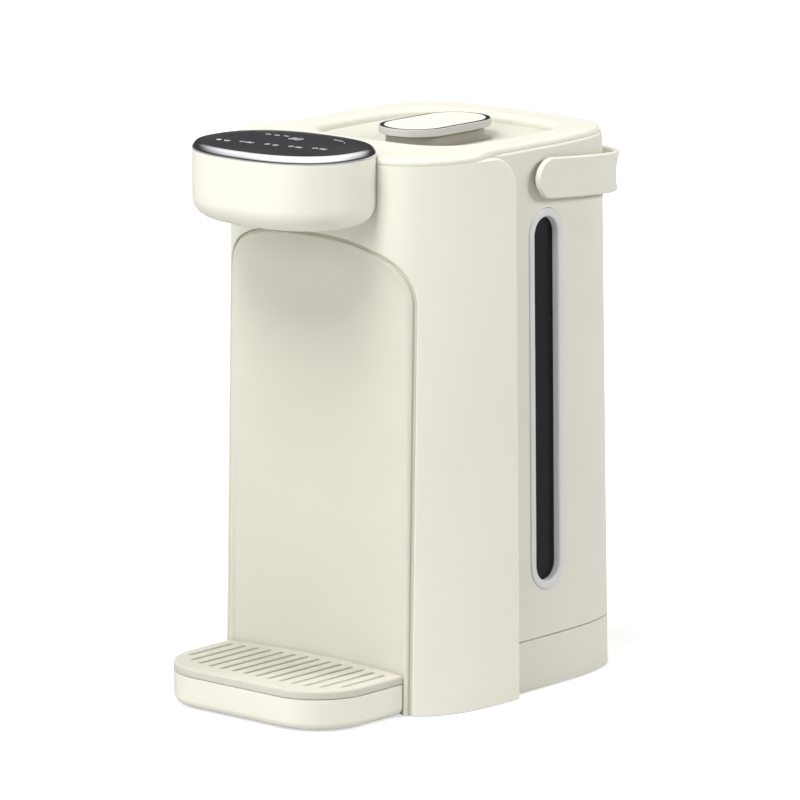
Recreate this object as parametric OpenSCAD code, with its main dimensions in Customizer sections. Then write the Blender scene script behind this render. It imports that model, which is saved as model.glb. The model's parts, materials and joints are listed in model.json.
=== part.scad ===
/* [Body] */
// Step from the side of the housing out to the side of the front shell
shell_step = 7.4; // [6:0.2:9]
// Depth of the niche behind the front of the shell, at the base
niche_depth = 19.8; // [17:0.2:24]
// Roundness of the front shell's outline
front_n = 3.53; // [3:0.01:4.2]
// Room from the pot out to the side of the rear housing, at the base
side_room = 19; // [17:0.2:22]
// Room from the pot to the back of the rear housing, at the base
back_room = 23; // [20:0.5:30]
// Roundness of the rear housing's outline
rear_n = 4.5; // [3.8:0.1:5.5]
// Draft of the outer walls, in degrees
draft = 0.75; // [0.3:0.05:1.1]
// Height of the outer walls' top edge
body_h = 331; // [322:1:340]
// Thickness of the outer walls
wall = 2.8; // [2:0.1:3.4]
// Height of the seam between base and housing
seam_h = 32; // [28:0.5:38]
// Rear edge of the front shell, ahead of the cross plane
shell_rear = 7; // [4:0.5:10]
// Radius of the front shell's upper rear corner
shell_corner_r = 20; // [12:1:26]

/* [Top] */
// Rise of the top frame above the outer walls
frame_rise = 4; // [3.5:0.1:5]
// Width of the ledge round the filling mouth
ledge_w = 4.5; // [3:0.5:6]
// Roundness of the well
well_n = 3.8; // [3:0.1:5]
// Axis of the pot and well behind the cross plane
pot_y = 24; // [22:0.5:26]
// Depth of the lid's edge below the frame's top
lid_depth = 5; // [4:0.5:6]
// Depth of the lid's dish below its edge
dish_depth = 4.5; // [3:0.1:5]

/* [Knob] */
// Half width of the knob plate
knob_a = 22.5; // [19:0.1:24]
// Half length of the knob plate
knob_l = 40.1; // [34:0.1:44]
// Thickness of the knob plate
knob_t = 4.8; // [4:0.1:6]
// Width of the bright chamfer round the knob
knob_band = 3.3; // [2:0.1:4]
// Inset of the pillar under the knob
pillar_inset = 4.2; // [3.5:0.1:6]
// Height of the knob above the top frame
knob_rise = 3.5; // [2.5:0.1:5]

/* [Niche] */
// Half width of the niche opening
arch_a = 74.2; // [70:0.2:77]
// Distance of the arch's top below the outer walls' top edge
arch_drop = 45; // [42:1:50]
// Rise of the arch
arch_rise = 42; // [34:0.5:44]
// Roundness of the arch
arch_n = 2.66; // [2.2:0.02:3.2]
// Radius of the hollow niche panel
niche_r = 328; // [300:2:400]
// Room for the hose duct between the pot and the niche panel
duct_depth = 31.8; // [30:0.2:33]
// Width of the groove round the panel
niche_gap = 1.8; // [1.2:0.1:2.4]
// Thickness of the niche panel
panel_t = 2.5; // [2:0.1:3]

/* [Head] */
// Half width of the head
head_a = 58; // [56:0.1:64]
// Half depth of the head
head_b = 43; // [39:0.1:44]
// Roundness of the head
head_n = 2.36; // [2.3:0.02:3.2]
// Distance of the head's middle ahead of the front shell
head_out = 15.4; // [13:0.1:18]
// Distance of the head's underside below the outer walls' top edge
head_drop = 35.5; // [32:0.5:37]
// Distance of the seam under the bright ring above the outer walls' top edge
ring_rise = 5.5; // [5.4:0.1:6.5]
// Height of the bright ring
ring_h = 4.8; // [4:0.1:6]
// Width of the bright ring
ring_w = 3.5; // [2.5:0.1:4.5]
// Radius of the head's lower edge
head_edge_r = 13; // [9:0.5:16]

/* [Tray] */
// Half width of the tray
tray_a = 70; // [66:0.5:71.5]
// Length of the tray ahead of the niche panel
tray_l = 80.2; // [74:0.2:86]
// Corner radius of the tray
tray_r = 36; // [30:1:42]
// Gap between the tray and the niche panel
tray_gap = 1.8; // [1.5:0.1:2.5]
// Height of the seam under the grille
tray_seam = 20; // [18:0.5:23]
// Height of the grille's top
tray_h = 25.5; // [25:0.5:29]
// Radius of the tray's lower edge
tray_edge_r = 5; // [3:0.5:7]
// Number of slots in the grille
slot_count = 14; // [8:2:16]
// Distance between slots
slot_pitch = 9.4; // [8:0.1:9.6]
// Width of a slot
slot_w = 2.4; // [1.8:0.1:3]

/* [Window] */
// Width of the window frame
window_w = 32; // [29:0.5:34]
// Height of the window frame's lower end
window_low = 61; // [57:1:70]
// Distance of the window frame's upper end below the outer walls' top edge
window_drop = 37; // [36:1:46]
// Width of the frame's rim
window_rim = 5.3; // [4:0.1:6.5]
// Depth of the lens behind the wall
lens_depth = 4; // [3.4:0.1:4.4]
// Thickness of the lens
lens_t = 1.6; // [1.2:0.1:1.8]

/* [Handle] */
// Distance of the handle's pivot below the outer walls' top edge
pivot_drop = 18.5; // [17:0.5:21]
// Distance of the pivot behind the cross plane
pivot_y = 27.8; // [26:0.2:32]
// Height of the handle strap
strap_h = 24.6; // [20:0.2:26]
// Thickness of the handle strap
strap_t = 4; // [3:0.1:4.6]
// Gap between strap and side wall
strap_gap = 2.2; // [1.6:0.1:3]
// Distance of the strap's back behind the rear housing
strap_room = 11; // [8:0.5:16]
// Roundness of the strap's sweep
strap_n = 4; // [3.2:0.1:4.2]
// Droop of the handle at rest, in degrees
strap_droop = 5; // [3:0.5:7]
// Radius of the pivot pins
pin_r = 4; // [3:0.1:4.6]

/* [Pot] */
// Outer radius of the pot
pot_r = 69; // [64:0.5:72]
// Wall thickness of the pot
pot_wall = 1.2; // [0.8:0.1:1.6]
// Height of the pot's underside
pot_z = 75; // [73:0.5:80]
// Radius of the pot's lower edge
pot_edge_r = 8; // [5:0.5:12]
// Distance of the filling mouth's edge inside the pot's wall
mouth_inset = 13; // [12:0.5:17]

/* [Works] */
// Radius of the pump's body
pump_r = 20; // [18:0.5:21]
// Radius of the pump's motor
motor_r = 15; // [13:0.5:16]
// Distance of the drain's axis inside the pot's wall
drain_inset = 15; // [13:0.5:16]
// Outer radius of the hoses
hose_r = 5; // [4.4:0.1:5.4]
// Wall thickness of the hoses
hose_wall = 1.5; // [1:0.1:1.8]
// Distance of the heater plate's edge inside the pot's wall
heater_inset = 25; // [24:0.5:30]

/* [Hidden] */
$fn = 64;
eps = 0.01;
// room between pieces of one body that nest in each other
seat = 0.3;
// running clearance of pins, shafts and hose tails
run = 0.05;
// number of points in half an outline
half_pts = 40;
arc_steps = 5;
small_edge = 2;
foot_h = 1;
foot_sink = 1.5;
foot_r = 9;
floor_t = 3;
shell_z = foot_h;
edge_r = 1.5;
shell_edge_r = 0.5;
frame_edge_r = 3;
well_edge_r = 3.4;
frame_top = body_h + frame_rise;
rear_a = pot_r + side_room;
front_a = rear_a + shell_step;
niche_y = pot_r - pot_y + duct_depth;
front_b = niche_y + niche_depth;
rear_b = pot_y + pot_r + back_room;
half_d = (front_b + rear_b) / 2;
mouth_r = pot_r - mouth_inset;
well_a = mouth_r + ledge_w;
pump_y = pot_r - drain_inset - pot_y;
heater_r = pot_r - heater_inset;
arch_spring = body_h - arch_drop - arch_rise;
head_z = body_h - head_drop;
ring_z = body_h + ring_rise;
head_y = front_b + head_out;
tray_reach = niche_y + tray_l;
window_high = body_h - window_drop;
pivot_z = body_h - pivot_drop;
strap_b = rear_b + strap_room;
strap_back = pivot_y + (strap_b - pivot_y) * cos(strap_droop) + strap_h / 2 * sin(strap_droop);
// brings the whole object's middle to the origin
y_shift = (tray_reach - strap_back) / 2;

// ---- outlines ----
function spow(v, e) = sign(v) * pow(abs(v), e);
function super_pt(t, a, b, n) = [a * spow(cos(t), 2 / n), b * spow(sin(t), 2 / n)];
function super_ring(a, b, n, y0 = 0) =
    [for (i = [0 : 2 * half_pts - 1]) super_pt(i * 180 / half_pts, a, b, n) + [0, y0]];
function kx(z, a) = 1 - z * tan(draft) / a;
function ky(z) = 1 - z * tan(draft) / half_d;
function drafted(p, z, a) = [p[0] * kx(z, a), p[1] * ky(z)];
function smooth(v) = let (s = min(max(v, 0), 1)) s * s * (3 - 2 * s);

// front half outline of the shell, closed along the cross plane
function front_ring(z, inset) =
    [for (i = [0 : half_pts])
        drafted(super_pt(180 + i * 180 / half_pts, front_a - inset, front_b - inset, front_n), z, front_a)];
// rear half outline with straight cheeks that run forward to y = -reach
function rear_ring(z, inset, reach) = concat(
    [for (i = [0 : half_pts])
        drafted(super_pt(i * 180 / half_pts, rear_a - inset, rear_b - inset, rear_n), z, rear_a)],
    [drafted([-(rear_a - inset), -reach], z, rear_a), drafted([rear_a - inset, -reach], z, rear_a)]);
// the top frame's outline runs from the shell's width into the narrower housing's
narrow_from = 45;
narrow_to = 12;
// the frame stands back from the housing's rounded edge, and flush on the shell
frame_step = 1.2;
function cheek(p, z) =
    let (w = (rear_a - frame_step) * kx(z, rear_a) / (front_a * kx(z, front_a)),
        s = smooth((p[1] + narrow_from) / (narrow_from - narrow_to)))
    [p[0] * (1 - (1 - w) * s), p[1]];
function frame_ring(z, inset) = concat(
    [for (i = [0 : half_pts - 1])
        drafted(super_pt(i * 180 / half_pts, rear_a - inset - frame_step, rear_b - inset - frame_step, rear_n),
            z, rear_a)],
    [for (i = [0 : half_pts - 1])
        cheek(drafted(super_pt(180 + i * 180 / half_pts, front_a - inset, front_b - inset, front_n), z, front_a), z)]);
arch_pts = 24;
function arch_outline(inset, low) = concat([[-(arch_a - inset), low]],
    [for (i = [0 : arch_pts])
        let (p = super_pt(180 - i * 180 / arch_pts, arch_a - inset, arch_rise - inset, arch_n))
        [p[0], arch_spring + p[1]]],
    [[arch_a - inset, low]]);
corner_pts = 10;
function tray_ring(inset) =
    let (w = tray_a - inset, f = tray_reach - inset, r = tray_r - inset, back = niche_y - panel_t)
    concat(
        [for (i = [0 : corner_pts]) let (t = 180 + i * 90 / corner_pts) [-w + r + r * cos(t), -f + r + r * sin(t)]],
        [for (i = [0 : corner_pts]) let (t = 270 + i * 90 / corner_pts) [w - r + r * cos(t), -f + r + r * sin(t)]],
        [[w, -back], [-w, -back]]);

// ---- solids from outlines ----
function at_z(ring, z) = [for (p = ring) [p[0], p[1], z]];
// closed solid through a stack of rings that all have the same number of points
module loft(rings) {
    n = len(rings[0]);
    m = len(rings);
    points = [for (r = rings) each r];
    sides = [for (j = [0 : m - 2]) for (i = [0 : n - 1])
        let (a = j * n + i, b = j * n + (i + 1) % n) each [[a, a + n, b], [b, a + n, b + n]]];
    polyhedron(points, concat(sides, [[for (i = [0 : n - 1]) i]], [[for (i = [n - 1 : -1 : 0]) (m - 1) * n + i]]));
}
// small edges take fewer steps than large ones
function steps(r) = r > small_edge ? arc_steps : 2;
// height and inset pairs that round a lower and an upper edge
function edge_steps(z0, z1, r0, r1) = concat(
    r0 > 0 ? [for (i = [0 : steps(r0)]) let (t = i * 90 / steps(r0)) [z0 + r0 * (1 - cos(t)), r0 * (1 - sin(t))]]
           : [[z0, 0]],
    r1 > 0 ? [for (i = [0 : steps(r1)]) let (t = i * 90 / steps(r1)) [z1 - r1 * (1 - sin(t)), r1 * (1 - cos(t))]]
           : [[z1, 0]]);
module front_solid(z0, z1, inset = 0, r1 = 0)
    loft([for (s = edge_steps(z0, z1, 0, r1)) at_z(front_ring(s[0], inset + s[1]), s[0])]);
module rear_solid(z0, z1, inset = 0, r1 = 0, reach = 0)
    loft([for (s = edge_steps(z0, z1, 0, r1)) at_z(rear_ring(s[0], inset + s[1], reach), s[0])]);
module frame_solid(z0, z1, inset = 0, r1 = 0)
    loft([for (s = edge_steps(z0, z1, 0, r1)) at_z(frame_ring(s[0], inset + s[1]), s[0])]);
module tray_solid(z0, z1, inset = 0, r0 = 0, r1 = 0)
    loft([for (s = edge_steps(z0, z1, r0, r1)) at_z(tray_ring(inset + s[1]), s[0])]);
module super_solid(a, b, n, y0, z0, z1, r0 = 0, r1 = 0)
    loft([for (s = edge_steps(z0, z1, r0, r1)) at_z(super_ring(a - s[1], b - s[1], n, y0), s[0])]);
module super_prism(a, b, n, y0, z0, z1) translate([0, 0, z0]) linear_extrude(z1 - z0) polygon(super_ring(a, b, n, y0));
module arch_prism(inset, low, y0, y1)
    translate([0, y1, 0]) rotate([90, 0, 0]) linear_extrude(y1 - y0) polygon(arch_outline(inset, low));
// stadium along its second axis
module stadium(w, l) {
    square([w, l - w], center = true);
    for (s = [-1, 1]) translate([0, s * (l - w) / 2]) circle(d = w);
}
module tube(r, bore, h) {
    difference() {
        cylinder(r = r, h = h);
        translate([0, 0, -1]) cylinder(r = bore, h = h + 2);
    }
}
module elbow(r, bore, bend) rotate_extrude(angle = 90) translate([bend, 0]) difference() {
    circle(r = r);
    circle(r = bore);
}
module mirrored() {
    children();
    mirror([1, 0, 0]) children();
}
module placed() translate([0, y_shift, 0]) children();
// local frame on the right side wall: X outward, Y back, Z up along the draft
module on_side() translate([rear_a, 0, 0]) rotate([0, -draft, 0]) children();
// leans the niche panel with the body's front
module lean() translate([0, -niche_y, 0]) rotate([-draft, 0, 0]) translate([0, niche_y, 0]) children();
big = 400;

// ---- casings ----
lip_t = 2.4;
shell_top = body_h;
hose_up_y = pump_y + pump_r + 10;
head_bend = 10;
head_hose_z = body_h - 13;
module shell_wall() difference() {
    front_solid(shell_z, shell_top, 0, shell_edge_r);
    front_solid(shell_z - 1, shell_top + 1, wall);
}
// side view of the shell, with its upper rear corner rounded
module shell_side(inset) rotate([90, 0, 90]) linear_extrude(big, center = true) {
    translate([-big - shell_rear - shell_corner_r, 0]) square([big, shell_top - inset]);
    translate([-big - shell_rear - inset, 0]) square([big, shell_top - shell_corner_r]);
    translate([-shell_rear - shell_corner_r, shell_top - shell_corner_r]) circle(r = shell_corner_r - inset);
}
// rim that closes the gap to the housing and the top frame
module shell_back_lip() difference() {
    front_solid(shell_z, shell_top, 0, shell_edge_r);
    shell_side(lip_t);
    rear_solid(shell_z - 1, shell_top + 1, -seat, 0, cheek_reach + seat);
    translate([0, 0, shell_top - lip_t - 1]) linear_extrude(big) polygon(frame_ring(body_h, wall - seat));
}
module arch_lip() intersection() {
    front_solid(shell_z, shell_top, 0, shell_edge_r);
    difference() {
        arch_prism(-lip_t, shell_z, -front_b, -niche_y + panel_t);
        arch_prism(0, shell_z - 1, -front_b - 1, -niche_y + panel_t + 1);
    }
}
module front_shell() color("ivory") placed() difference() {
    intersection() {
        union() {
            shell_wall();
            shell_back_lip();
            arch_lip();
        }
        shell_side(0);
    }
    arch_prism(0, shell_z - 1, -front_b - 1, -niche_y + 1);
    translate([0, -front_b / 2, head_hose_z]) rotate([90, 0, 0]) cylinder(r = hose_r + 3, h = front_b);
}

boss_r = 5;
boss_y = [45, -25];
boss_x = rear_a - wall - boss_r - 1.6;
boss_top = 62;
screw_r = 1.75;
bush_r = 8;
cheek_reach = 38;
module at_screws() for (y = boss_y) mirrored() translate([boss_x, y, 0]) children();
module pivot_axis() translate([0, pivot_y, pivot_z]) rotate([0, 90, 0]) children();
module window_hole(extra) translate([0, pivot_y, (window_low + window_high) / 2]) rotate([90, 0, 90])
    linear_extrude(4 * frame_depth, center = true) stadium(window_w + 2 * extra, window_high - window_low + 2 * extra);
module rear_housing() color("ivory") placed() difference() {
    union() {
        difference() {
            rear_solid(seam_h + 0.4, body_h, 0, edge_r, cheek_reach);
            rear_solid(seam_h - 1, body_h + 1, wall, 0, cheek_reach + 1);
        }
        at_screws() {
            translate([0, 0, floor_t + foot_h + seat]) cylinder(r = boss_r, h = boss_top);
            translate([0, -1.5, seam_h + 1]) cube([rear_a - wall / 2 - boss_x - 1, 3, boss_top - seam_h + 3]);
        }
    }
    at_screws() cylinder(r = screw_r + run, h = boss_top / 2);
    pivot_axis() cylinder(r = bush_r + run, h = big, center = true);
    on_side() window_hole(0.15);
}

inlet_w = 28;
inlet_h = 20;
inlet_z = 18;
inlet_d = 20;
foot_x = [58, 56];
foot_y = [-52, 84];
tub_front = niche_y - panel_t - seat;
module at_feet() for (i = [0, 1]) mirrored() translate([foot_x[i], foot_y[i], 0]) children();
// floor outline: the housing's outline behind, the shell's inside in front
module tub_plan(z0, z1, inset) {
    rear_solid(z0, z1, inset, 0, cheek_reach);
    intersection() {
        front_solid(z0, z1, wall + seat + inset);
        translate([-big / 2, -tub_front + inset, 0])
            cube([big, tub_front - shell_rear - lip_t - seat - 2 * inset, big]);
        translate([0, -niche_y - niche_r, 0]) difference() {
            translate([-big, 0, 0]) cube([2 * big, 3 * big, big]);
            cylinder(r = niche_r + panel_rim + seat + inset, h = big, $fn = 256);
        }
    }
}
standoff_r = 3;
board_z = 14;
board_w = 58;
board_l = 60;
board_x = -38;
board_y = 64;
module at_board_corners() for (x = [-1, 1]) for (y = [-1, 1])
    translate([board_x + x * (board_w / 2 - 5), board_y + y * (board_l / 2 - 5), 0]) children();
module base_tub() color("ivory") placed() difference() {
    union() {
        difference() {
            tub_plan(shell_z, seam_h, 0);
            tub_plan(shell_z + floor_t, seam_h + 1, wall);
        }
        at_board_corners() translate([0, 0, foot_h]) cylinder(r = standoff_r, h = board_z - foot_h);
    }
    at_feet() cylinder(r = foot_r + 0.1, h = foot_h + foot_sink);
    at_screws() {
        cylinder(r = screw_r + 0.25, h = seam_h);
        cylinder(r = 2 * screw_r + 0.3, h = foot_h + 2);
    }
    translate([-inlet_w / 2 - 0.2, rear_b / 2, inlet_z - inlet_h / 2 - 0.2])
        cube([inlet_w + 0.4, rear_b, inlet_h + 0.4]);
    for (x = [-24, -12, 0, 12, 24]) translate([x, 2, 0]) linear_extrude(seam_h / 2) stadium(4, 30);
}

panel_rim = 7;
module panel_face(front, back) translate([0, -niche_y - niche_r, shell_z])
    difference() {
        cylinder(r = niche_r + back, h = big, $fn = 256);
        translate([0, 0, -1]) cylinder(r = niche_r + front, h = big + 2, $fn = 256);
    }
module niche_panel() color("ivory") placed() intersection() {
    arch_prism(niche_gap, shell_z, -front_b, -niche_y / 2);
    lean() difference() {
        panel_face(0, panel_rim);
        intersection() {
            panel_face(panel_t, panel_rim + 1);
            arch_prism(niche_gap + panel_t, shell_z + panel_t, -front_b, 0);
        }
    }
}

ledge_z = frame_top - lid_depth - dish_depth - 3;
ledge_t = 2.5;
well_wall = 2.4;
frame_under = 0.5;
collar_z = body_h - 7;
module well_solid(z0, z1, inset = 0)
    super_prism(well_a - inset, well_a - inset, well_n, pot_y, z0, z1);
module collar_prism(inset, z0) translate([0, 0, z0]) linear_extrude(body_h + 1 - z0)
    polygon(frame_ring(body_h, inset));
// opening whose upper edge widens in a round
module well_mouth() loft([for (i = [0 : arc_steps]) let (t = i * 90 / arc_steps, g = well_edge_r * (1 - cos(t)))
    at_z(super_ring(well_a + g, well_a + g, well_n, pot_y), frame_top - well_edge_r * (1 - sin(t)) + (i == arc_steps ? eps : 0))]);
module top_frame() color("ivory") placed() difference() {
    union() {
        frame_solid(body_h + frame_under, frame_top, 0.2, frame_edge_r);
        difference() {
            collar_prism(wall + 1, collar_z);
            collar_prism(wall + 3, collar_z - 1);
            difference() {
                translate([-big, -cheek_reach - seat, 0]) cube([2 * big, cheek_reach + seat, body_h]);
                rear_solid(collar_z - 1, body_h, wall + seat, 0, cheek_reach + 2 * seat);
            }
        }
        well_solid(ledge_z - ledge_t, body_h + 1, -well_wall);
    }
    well_solid(ledge_z, frame_top);
    well_mouth();
    translate([0, pot_y, 0]) cylinder(r = mouth_r, h = big);
}

// ---- side window and level gauge ----
window_proud = 0.6;
frame_depth = lens_depth + lens_t;
module window_stack(w_cut, x0, x1) translate([x0, pivot_y, (window_low + window_high) / 2]) rotate([90, 0, 90])
    linear_extrude(x1 - x0) stadium(window_w - 2 * w_cut, window_high - window_low - 2 * w_cut);
module window_frame() color("lightgray") placed() on_side() difference() {
    window_stack(0, -frame_depth, window_proud);
    window_stack(window_rim, -frame_depth - 1, window_proud + 1);
    window_stack(window_rim - 1.5, -frame_depth - 1, -lens_depth);
}
module window_lens() color("black") placed() on_side()
    window_stack(window_rim - 1.4, -frame_depth, -lens_depth - eps);
tube_r = 3.4;
tube_bore = 2.4;
tube_x = pot_r + 1.9 + tube_r;
tube_low = pot_z + 4;
tube_high = window_high - 2;
socket_r = 4.6;
socket_h = 12;
module sight_tube() color("lightcyan") placed() translate([tube_x, pivot_y, tube_low])
    tube(tube_r, tube_bore, tube_high - tube_low);
module gauge_sockets() color("whitesmoke") placed() {
    for (z = [tube_low - 2, tube_high - socket_h + 2]) translate([tube_x, pivot_y, z]) difference() {
        union() {
            intersection() {
                cylinder(r = socket_r, h = socket_h);
                translate([-socket_r, -socket_r, 0]) cube([socket_r + tube_r + 0.4, 2 * socket_r, socket_h]);
            }
            translate([-socket_r, -2.5, 3]) cube([socket_r, 5, 6]);
        }
        translate([0, 0, z < arch_spring ? 2 : -1]) cylinder(r = tube_r + run, h = socket_h - 1);
        translate([-tube_x, pot_y - pivot_y, -1]) cylinder(r = pot_r + seat, h = socket_h + 2, $fn = 128);
    }
}

// ---- head ----
head_wall = 2.4;
nozzle_y = head_y + 16;
nozzle_r = 6.4;
nozzle_top = head_hose_z - head_bend - 2;
// what the head sits against: shell and top frame
module head_seat() {
    front_solid(shell_z, body_h, -seat);
    front_solid(body_h - 1, frame_top + seat, -seat);
}
module head_housing() color("ivory") placed() difference() {
    super_solid(head_a, head_b, head_n, -head_y, head_z, ring_z, head_edge_r);
    super_solid(head_a - head_wall, head_b - head_wall, head_n, -head_y, head_z + head_wall, ring_z + 1, head_edge_r - head_wall);
    head_seat();
    translate([0, -nozzle_y, 0]) cylinder(r = nozzle_r + 0.2, h = head_hose_z);
}
module head_ring() color("silver") placed() difference() {
    loft([for (s = [[0, 0], [0.5, 0], [ring_h - 1, ring_w - 1.3], [ring_h - 0.3, ring_w - 0.7], [ring_h, ring_w - 0.3]])
        at_z(super_ring(head_a - s[1], head_b - s[1], head_n, -head_y), ring_z + s[0])]);
    super_prism(head_a - ring_w, head_b - ring_w, head_n, -head_y, ring_z - 1, ring_z + ring_h + 1);
}
glass_t = 2.2;
glass_z = ring_z + ring_h - 0.3 - glass_t;
module control_glass() color("dimgray") placed()
    super_prism(head_a - ring_w - 0.1, head_b - ring_w - 0.1, head_n, -head_y,
        glass_z, glass_z + glass_t);
module control_board() color("darkgreen") placed()
    super_prism(head_a - ring_w - 3, head_b - ring_w - 3, head_n, -head_y, ring_z + 0.6, glass_z);
module spout_nozzle() color("whitesmoke") placed() translate([0, -nozzle_y, 0]) {
    translate([0, 0, head_z + 0.4]) tube(nozzle_r, hose_r - hose_wall, nozzle_top - head_z - 0.4);
    translate([0, 0, head_z + head_wall + 0.1]) tube(nozzle_r + 3, nozzle_r - 1, 2);
}

// ---- pot and heating ----
flange_r = pot_r + 4;
seal_t = 2.5;
pot_rim = ledge_z - ledge_t - seal_t;
drain_y = pot_y + pump_y;
tail_r = hose_r - hose_wall - run;
tail_bore = tail_r - 1.1;
tail_l = 13;
module pot_profile(r, z0, z1, edge) {
    translate([0, z0 + edge]) square([r, z1 - z0 - edge]);
    square_w = r - edge;
    translate([0, z0]) square([square_w, edge + eps]);
    intersection() {
        translate([square_w, z0 + edge]) circle(r = edge);
        translate([0, z0]) square([r, edge]);
    }
}
module inner_pot() color("silver") placed() translate([0, pot_y, 0]) difference() {
    union() {
        rotate_extrude($fn = 128) pot_profile(pot_r, pot_z, pot_rim, pot_edge_r);
        translate([0, 0, pot_rim - pot_wall]) cylinder(r = flange_r, h = pot_wall, $fn = 128);
        translate([0, -drain_y, pot_z - tail_l]) cylinder(r = tail_r, h = tail_l + pot_wall / 2);
    }
    rotate_extrude($fn = 128) pot_profile(pot_r - pot_wall, pot_z + pot_wall, pot_rim + 1, pot_edge_r - pot_wall);
    translate([0, -drain_y, pot_z - tail_l - 1]) cylinder(r = tail_bore, h = tail_l + 2 * pot_wall + 2);
}
module pot_seal() color("dimgray") placed() translate([0, pot_y, pot_rim]) tube(flange_r, mouth_r + 6, seal_t);
stand_t = 3;
leg_r = 5;
stand_in = heater_r + 3;
stand_out = pot_r - pot_edge_r + 2;
module pot_stand() color("gray") placed() translate([0, pot_y, 0]) difference() {
    union() {
        translate([0, 0, pot_z - stand_t]) tube(stand_out, stand_in, stand_t);
        for (a = [0, 90, 180]) rotate([0, 0, a]) translate([stand_out - leg_r - 2, 0, foot_h + floor_t])
            cylinder(r = leg_r, h = pot_z - foot_h - floor_t - 1);
    }
    translate([0, -drain_y, 0]) cylinder(r = hose_r + 3, h = big);
}
heater_t = 6;
terminal_l = 6;
element_w = 7;
disc_r = 9;
disc_h = 9;
module heater_plate() color("gray") placed() translate([0, pot_y, pot_z - heater_t]) {
    cylinder(r = heater_r, h = heater_t);
    for (x = [-1, 1]) translate([x * heater_r / 2, heater_r / 3, -terminal_l]) cylinder(r = 2.5, h = terminal_l + 1);
    translate([0, 0, -element_w / 2]) difference() {
        tube(heater_r - element_w, heater_r - 2 * element_w, element_w / 2 + 1);
        translate([-heater_r, -heater_r, -1]) cube([2 * heater_r, heater_r / 3, element_w]);
    }
}
module thermostat() color("saddlebrown") placed() translate([0, pot_y, pot_z - heater_t - disc_h]) {
    cylinder(r = disc_r, h = disc_h);
    for (x = [-1, 1]) translate([(x - 0.5) * disc_r / 2, -0.5, 1 - disc_h]) cube([disc_r / 2, 1, disc_h]);
}
fuse_w = 24;
fuse_t = 6;
module thermal_fuse() color("tan") placed()
    translate([0, pot_y - heater_r / 2, pot_z - heater_t - fuse_t / 2]) difference() {
        cube([fuse_w, fuse_t + 2, fuse_t], center = true);
        rotate([0, 90, 0]) cylinder(r = fuse_t / 4, h = fuse_w + 2, center = true);
    }

// ---- pump and hoses ----
volute_z = 30;
volute_h = 16;
volute_wall = 2;
shaft_r = 1.5;
outlet_z = volute_z + volute_h / 2;
module at_pump() translate([0, -pump_y, 0]) children();
module pump_body() color("gainsboro") placed() at_pump() difference() {
    union() {
        translate([0, 0, volute_z]) cylinder(r = pump_r, h = volute_h);
        translate([0, 0, volute_z + volute_h - 1]) cylinder(r = tail_r, h = 14);
        translate([0, 0, outlet_z]) rotate([90, 0, 0]) cylinder(r = hose_r, h = pump_r + 2);
    }
    translate([0, 0, volute_z + volute_wall]) cylinder(r = pump_r - 3, h = volute_h - 2 * volute_wall);
    translate([0, 0, volute_z + volute_wall + 1]) cylinder(r = tail_bore, h = volute_h + 14);
    translate([0, 0, outlet_z]) rotate([90, 0, 0]) cylinder(r = hose_r - hose_wall, h = pump_r + 4);
    translate([0, 0, volute_z - 1]) cylinder(r = shaft_r + run, h = 4);
}
motor_low = 8;
module pump_motor() color("silver") placed() at_pump() translate([0, 0, motor_low]) difference() {
    union() {
        cylinder(r = motor_r, h = volute_z - motor_low);
        for (x = [-1, 1]) translate([x * 8, 0, -2]) cylinder(r = 1.2, h = 3);
    }
    translate([0, 0, 5]) cylinder(r = shaft_r + run, h = volute_z);
}
vanes = 6;
module pump_impeller() color("white") placed() at_pump() {
    translate([0, 0, motor_low + 6]) cylinder(r = shaft_r, h = volute_z - motor_low - 1);
    translate([0, 0, volute_z + volute_wall + 1]) {
        cylinder(r = pump_r - 5, h = 2);
        cylinder(r = 3.4, h = 5);
        for (i = [0 : vanes - 1]) rotate([0, 0, i * 360 / vanes])
            translate([3, -0.6, 0]) cube([pump_r - 9, 1.2, 7]);
    }
}
cradle_h = 12;
module pump_cradle() color("dimgray") placed() at_pump() translate([0, 0, foot_h + floor_t]) difference() {
    cylinder(r = motor_r + 3, h = cradle_h);
    translate([0, 0, motor_low - foot_h - floor_t]) cylinder(r = motor_r + 0.2, h = cradle_h);
    translate([0, 0, -1]) cylinder(r = motor_r - 4, h = cradle_h);
}
module suction_hose() color("whitesmoke") placed() at_pump() translate([0, 0, volute_z + volute_h + 1])
    tube(hose_r, hose_r - hose_wall, pot_z - volute_z - volute_h - 2);
low_bend = hose_up_y - pump_y - pump_r - 2;
module delivery_hose() color("whitesmoke") placed() {
    bore = hose_r - hose_wall;
    translate([0, -hose_up_y + low_bend, outlet_z + low_bend]) rotate([90, 180, 90])
        elbow(hose_r, bore, low_bend);
    translate([0, -hose_up_y, outlet_z + low_bend])
        tube(hose_r, bore, head_hose_z - head_bend - outlet_z - low_bend);
    translate([0, -hose_up_y - head_bend, head_hose_z - head_bend]) rotate([90, 0, 90])
        elbow(hose_r, bore, head_bend);
    translate([0, -hose_up_y - head_bend, head_hose_z]) rotate([90, 0, 0])
        tube(hose_r, bore, nozzle_y - hose_up_y - 2 * head_bend);
    translate([0, -nozzle_y + head_bend, head_hose_z - head_bend]) rotate([90, 0, 90]) rotate([0, 0, 90])
        elbow(hose_r, bore, head_bend);
    translate([0, -nozzle_y, nozzle_top]) tube(hose_r, bore, 2);
}

// ---- electrics, screws and feet ----
board_t = 1.6;
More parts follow.
